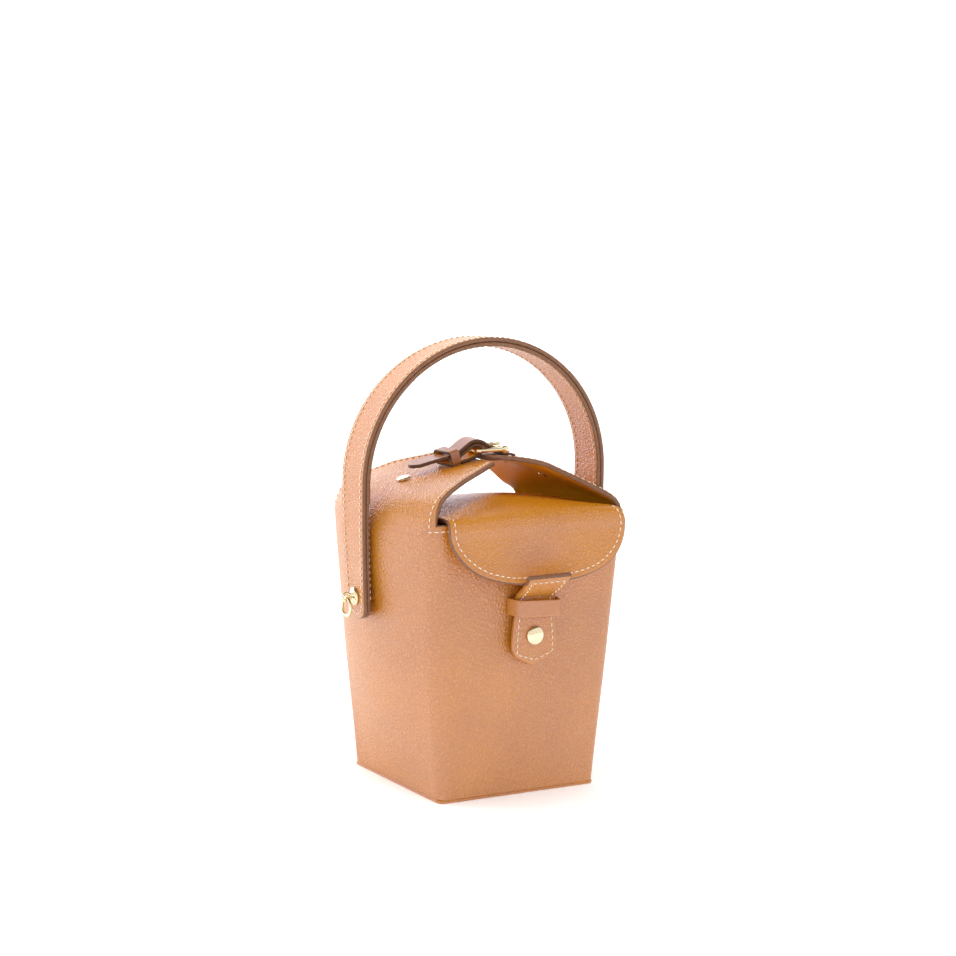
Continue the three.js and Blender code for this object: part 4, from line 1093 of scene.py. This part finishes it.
# Buckle straps
# Two narrow straps of smooth bridle leather, 12 mm wide and 2.1 mm thick, with dark painted edges. One is
# folded round the buckle's bar and fixed to the left flap. The other is riveted to the right flap, goes
# through the buckle and lies over the first.
STRAP_HALF = 6.0
STRAP_THICK = 2.1
STRAP_COLUMNS = 14
STRAP_STEPS = 7
TAIL_ROUND_ROWS = 0.5
BAR_X = -3.9
BUCKLE_Z = 198.6
FOLD_RADIUS = 4.4
FOLD_STRAP = table(
    "x z",
    (-21.2, 194.9),
    (-18.5, 195.7),
    (-16.0, 196.8),
    (-12.0, 199.4),
    (-8.0, 201.9),
    (BAR_X, BUCKLE_Z + FOLD_RADIUS),
    (BAR_X + 0.72 * FOLD_RADIUS, BUCKLE_Z + 0.7 * FOLD_RADIUS),
    (BAR_X + FOLD_RADIUS, BUCKLE_Z),
    (BAR_X + 0.72 * FOLD_RADIUS, BUCKLE_Z - 0.7 * FOLD_RADIUS),
    (BAR_X, BUCKLE_Z - FOLD_RADIUS),
    (-8.5, 192.6),
    (-11.0, 192.0),
    (-13.8, 191.5),
)
TAIL_STRAP = table(
    "x z",
    (22.8, 194.95),
    (18.0, 196.1),
    (13.6, 196.9),
    (11.0, 197.7),
    (7.5, 199.8),
    (3.5, 202.6),
    (0.0, 204.6),
    (-4.0, 205.5),
    (-8.0, 204.7),
    (-12.0, 202.3),
    (-16.0, 199.5),
    (-20.0, 197.5),
    (-28.0, 195.9),
    (-38.0, 194.0),
    (-46.0, 192.2),
)


def strap_grid(rows, across_sign, end_round):
    """A strap along a smooth line in the middle plane; a parabola draws its last end back at the edges."""
    across = strap_columns(STRAP_COLUMNS)
    last = len(rows["x"]) - 1
    row = np.linspace(0, 1, last * STRAP_STEPS + 1)[:, None] * (last - end_round * across ** 2)
    x, z = smooth(rows["x"], row), smooth(rows["z"], row)
    return as_points(x, across_sign * STRAP_HALF * across, z)


# Bridle leather, curried with wax and pressed: browner than the hide, with a fine flat grain
# Its second colour darkens the creases between the grain as painted shade
SMOOTH_LEATHER = pebbled_leather("bridle_leather", "#a4682a", "#8a521c", grain_mm=0.9, grain_depth_mm=0.05)
# The same edge paint as on the walls in a darker brown
DARK_EDGE, _ = mottled("dark_painted_edge", "#5c3a22", "#40250f", patch_mm=2.0, roughness=0.38,
                       relief_mm=0.03)
straps = {
    "buckle_strap": strap_grid(FOLD_STRAP, -1, 0.0),
    "tail_strap": strap_grid(TAIL_STRAP, 1, TAIL_ROUND_ROWS),
}
for name, grid in straps.items():
    add_leather(name, leather_sheet(grid, STRAP_THICK), [SMOOTH_LEATHER, LIT_FLESH, DARK_EDGE])

# Buckle
# A small frame of cast brass with round corners and a round knob at both far corners, and a prong whose ring
# turns on the frame's bar and whose tip lies on the far rail. Both are gold plated.
FRAME_X = 5.2
FRAME_HALF_LENGTH = 10.4
FRAME_HALF_WIDTH = 9.0
FRAME_RAIL = 2.6
FRAME_CORNER = 3.2
FRAME_CORNER_STEPS = 9
RAIL_POWER = 0.6
KNOB_X = 14.2
KNOB_Y = 7.9
KNOB_RADIUS = 2.3
KNOB_LENGTH = 2.9
KNOB_BEVEL = 0.5
PRONG_LOW = 200.05
PRONG_TIP_X = 15.9
PRONG_RING_RADIUS = 2.35
PRONG_RING_WIRE = 0.52
PRONG_ARM = table(
    "radius share",
    (0.0, 0.0),
    (0.7, 0.0),
    (0.8, 0.1),
    (0.8, 0.6),
    (0.85, 0.92),
    (0.6, 0.985),
    (0.0, 1.0),
)


def closed_tube(path, outward, half_width, half_height, sides=16):
    """A rounded bar carried along a closed flat path: a superellipse across the path's outward direction."""
    angle = 2 * np.pi * np.arange(sides) / sides
    wide = np.sign(np.cos(angle)) * np.abs(np.cos(angle)) ** RAIL_POWER * half_width
    high = np.sign(np.sin(angle)) * np.abs(np.sin(angle)) ** RAIL_POWER * half_height
    flat = path[:, None, :] + outward[:, None, :] * wide[None, :, None]
    points = np.concatenate([flat, np.broadcast_to(high[None, :, None], (*flat.shape[:2], 1))], axis=-1)
    return points.reshape(-1, 3), ring_faces(len(path), sides)


half_rail = FRAME_RAIL / 2
rail_path, rail_out = rounded_outline(FRAME_HALF_LENGTH - half_rail, FRAME_HALF_WIDTH - half_rail,
                                      FRAME_CORNER - half_rail, FRAME_CORNER_STEPS)
rails, rail_faces = closed_tube(rail_path, rail_out, half_rail, half_rail)
knob_end = KNOB_LENGTH / 2
knob_half = [(KNOB_RADIUS, knob_end - KNOB_BEVEL), (KNOB_RADIUS - KNOB_BEVEL, knob_end), (0, knob_end)]
knob_profile = [(radius, -height) for radius, height in knob_half[::-1]] + knob_half
knobs = [turned_piece(knob_profile, np.array([KNOB_X, y, BUCKLE_Z]), (0, 1, 0)) for y in (-KNOB_Y, KNOB_Y)]
buckle = join([(rails + np.array([FRAME_X, 0, BUCKLE_Z]), rail_faces), *knobs])
add_piece("buckle_frame_metal", *buckle, [GOLD], "gold_plate", "buckle_frame")


def prong():
    """A ring of round wire on the bar, and a turned arm whose tip is rounded off on the far rail."""
    east, up = np.array([1.0, 0.0, 0.0]), np.array([0.0, 0.0, 1.0])
    ring = wire_ring(np.array([BAR_X, 0, BUCKLE_Z]), east, up, PRONG_RING_RADIUS, PRONG_RING_WIRE)
    profile = np.column_stack([PRONG_ARM["radius"], (PRONG_TIP_X - BAR_X) * PRONG_ARM["share"]])
    arm_seat = np.array([BAR_X, 0, PRONG_LOW + PRONG_ARM["radius"].max()])
    return join([ring, turned_piece(profile, arm_seat, east)])


add_piece("buckle_prong_metal", *prong(), [GOLD], "gold_plate", "buckle_prong")

# Buckle keeper
# A loop of the same smooth leather, 1.4 mm thick, round both straps, glued together underneath. It leans with
# the straps, and its cut edges are painted dark.
LOOP_FROM_X = -23.2
LOOP_TO_X = -17.6
LOOP_LEAN = 0.26
LOOP_SKEW = 0.18
LOOP_HALF = 7.9
LOOP_LOW_Z = 190.9
LOOP_HIGH_Z = 199.8
LOOP_THICK = 1.4
LOOP_CORNER = 2.2
LOOP_CORNER_STEPS = 6
LOOP_ROWS = 8


def keeper_grid():
    """A rectangle with round corners carried along X, leaning so that it stands square on the strap."""
    half_height = (LOOP_HIGH_Z - LOOP_LOW_Z) / 2
    outline, _ = rounded_outline(LOOP_HALF, half_height, LOOP_CORNER, LOOP_CORNER_STEPS)
    y, rise = outline[None, :, 0], outline[None, :, 1]
    run = np.linspace(-0.5, 0.5, LOOP_ROWS + 1)[:, None] * (LOOP_TO_X - LOOP_FROM_X)
    x = (LOOP_FROM_X + LOOP_TO_X) / 2 + run - LOOP_LEAN * rise - LOOP_SKEW * y
    z = (LOOP_LOW_Z + LOOP_HIGH_Z) / 2 + rise + LOOP_LEAN * run
    return as_points(x, y, z)


loop_sheet = leather_sheet(keeper_grid(), LOOP_THICK, wrap=True)
add_leather("buckle_keeper", loop_sheet, [SMOOTH_LEATHER, LIT_FLESH, DARK_EDGE])

# Studio
# White paper on the floor of a light tent: its walls are bright, most of all behind, and its roof is dark.
# Soft boxes lift the top, the front and the floor behind, and the gloss of the pieces doesn't mirror them.
BEHIND_FROM, BEHIND_FULL = 0.35, 0.95
BEHIND_RAISES_ROOF = 0.3
ROOF_FROM, ROOF_FULL = 0.5, 0.68
ROOF_GLOW = 0.06
WALL_GLOW = (1.0, 1.0, 1.0, 1.0)
BEHIND_GLOW = (2.4, 2.4, 2.4, 1.0)
PAPER_NEAR, PAPER_FAR = 0.35, 1.2
PAPER_NEAR_GLOW, PAPER_FAR_GLOW = 0.22, 0.55
FLOOR_HALF = 1.6
scene = bpy.context.scene
scene.view_settings.view_transform = "Standard"
scene.view_settings.look = "None"
world = bpy.data.worlds.new("light_tent")
world.use_nodes = True
heading = add_node(world, "ShaderNodeTexCoord").outputs["Generated"]
towards_back = add_node(world, "ShaderNodeVectorMath", {
    0: heading, 1: (0.0, 1.0, 0.0),
}, operation="DOT_PRODUCT").outputs["Value"]
behind = remap(world, towards_back, BEHIND_FROM, BEHIND_FULL, step="SMOOTHSTEP")
rise = add_node(world, "ShaderNodeSeparateXYZ", {0: heading}).outputs["Z"]
screen = add_node(world, "ShaderNodeMath", {
    0: behind, 1: -BEHIND_RAISES_ROOF, 2: rise,
}, operation="MULTIPLY_ADD").outputs["Value"]
fade = remap(world, screen, ROOF_FROM, ROOF_FULL, 1.0, ROOF_GLOW, step="SMOOTHSTEP")
tent = blend(world, behind, WALL_GLOW, BEHIND_GLOW)
glow = add_node(world, "ShaderNodeVectorMath", {0: tent, "Scale": fade}, operation="SCALE")
world.node_tree.links.new(glow.outputs["Vector"], world.node_tree.nodes["Background"].inputs["Color"])
scene.world = world
floor_mesh = bpy.data.meshes.new("studio_floor")
floor_corners = [(FLOOR_HALF * x, FLOOR_HALF * y, 0) for x, y in ((-1, -1), (1, -1), (1, 1), (-1, 1))]
floor_mesh.from_pydata(floor_corners, [], [(0, 1, 2, 3)])
floor = bpy.data.objects.new("studio_floor", floor_mesh)
scene.collection.objects.link(floor)
# Matt white paper that is lit from below, more so farther out, so that it ends without a horizon
paper, paper_shader, paper_place = new_material("white_paper")
paper_reach = add_node(paper, "ShaderNodeVectorMath", {0: paper_place}, operation="LENGTH").outputs["Value"]
set_inputs(paper, paper_shader, {
    "Base Color": linear("#fbfbfb"),
    "Roughness": 0.9,
    "Emission Color": (1.0, 1.0, 1.0, 1.0),
    "Emission Strength": remap(paper, paper_reach, PAPER_NEAR, PAPER_FAR, PAPER_NEAR_GLOW, PAPER_FAR_GLOW),
})
floor_mesh.materials.append(paper)


def soft_box(name, place, target, size, watts):
    """A square soft light that faces a target and isn't seen in reflections."""
    light = bpy.data.lights.new(name, "AREA")
    light.shape = "SQUARE"
    light.size = size
    light.energy = watts
    lamp = bpy.data.objects.new(name, light)
    scene.collection.objects.link(lamp)
    lamp.location = place
    lamp.visible_glossy = False
    away = unit(np.array(place) - np.array(target))
    side = unit(np.cross([0.0, 0.0, 1.0], away))
    up = np.cross(away, side)
    lamp.rotation_euler = mathutils.Matrix(np.column_stack([side, up, away]).tolist()).to_euler()


soft_box("key_above", (0.05, -0.35, 1.55), (0, 0, 0.1), 0.9, 15.0)
soft_box("fill_front", (-0.6, -1.4, 0.15), (0, 0, 0.15), 0.8, 1.2)
soft_box("floor_back_left", (-0.5, 0.7, 0.9), (-0.45, 0.65, 0.0), 0.9, 7.5)

# Camera
# The photograph was taken from the front and 30 degrees to the left, 9 degrees above the floor, with a long
# lens.
PIXELS = 956
SENSOR_MM = 36.0
FOCAL_PIXELS = 3000.0
AZIMUTH, ELEVATION, ROLL = np.radians([30.19, 9.4, 0.78])
EYE = np.array([-0.88586, -1.52401, 0.47289])
level_forward = np.array([np.sin(AZIMUTH), np.cos(AZIMUTH), 0.0])
forward = np.cos(ELEVATION) * level_forward - np.sin(ELEVATION) * np.array([0.0, 0.0, 1.0])
level_right = np.array([np.cos(AZIMUTH), -np.sin(AZIMUTH), 0.0])
level_up = np.cross(level_right, forward)
right = level_right * np.cos(ROLL) + level_up * np.sin(ROLL)
up = level_up * np.cos(ROLL) - level_right * np.sin(ROLL)
camera_data = bpy.data.cameras.new("photo_camera")
camera_data.sensor_width = SENSOR_MM
camera_data.lens = SENSOR_MM * FOCAL_PIXELS / PIXELS
camera = bpy.data.objects.new("photo_camera", camera_data)
scene.collection.objects.link(camera)
camera.location = EYE
camera.rotation_euler = mathutils.Matrix(np.column_stack([right, up, -forward]).tolist()).to_euler()
scene.camera = camera
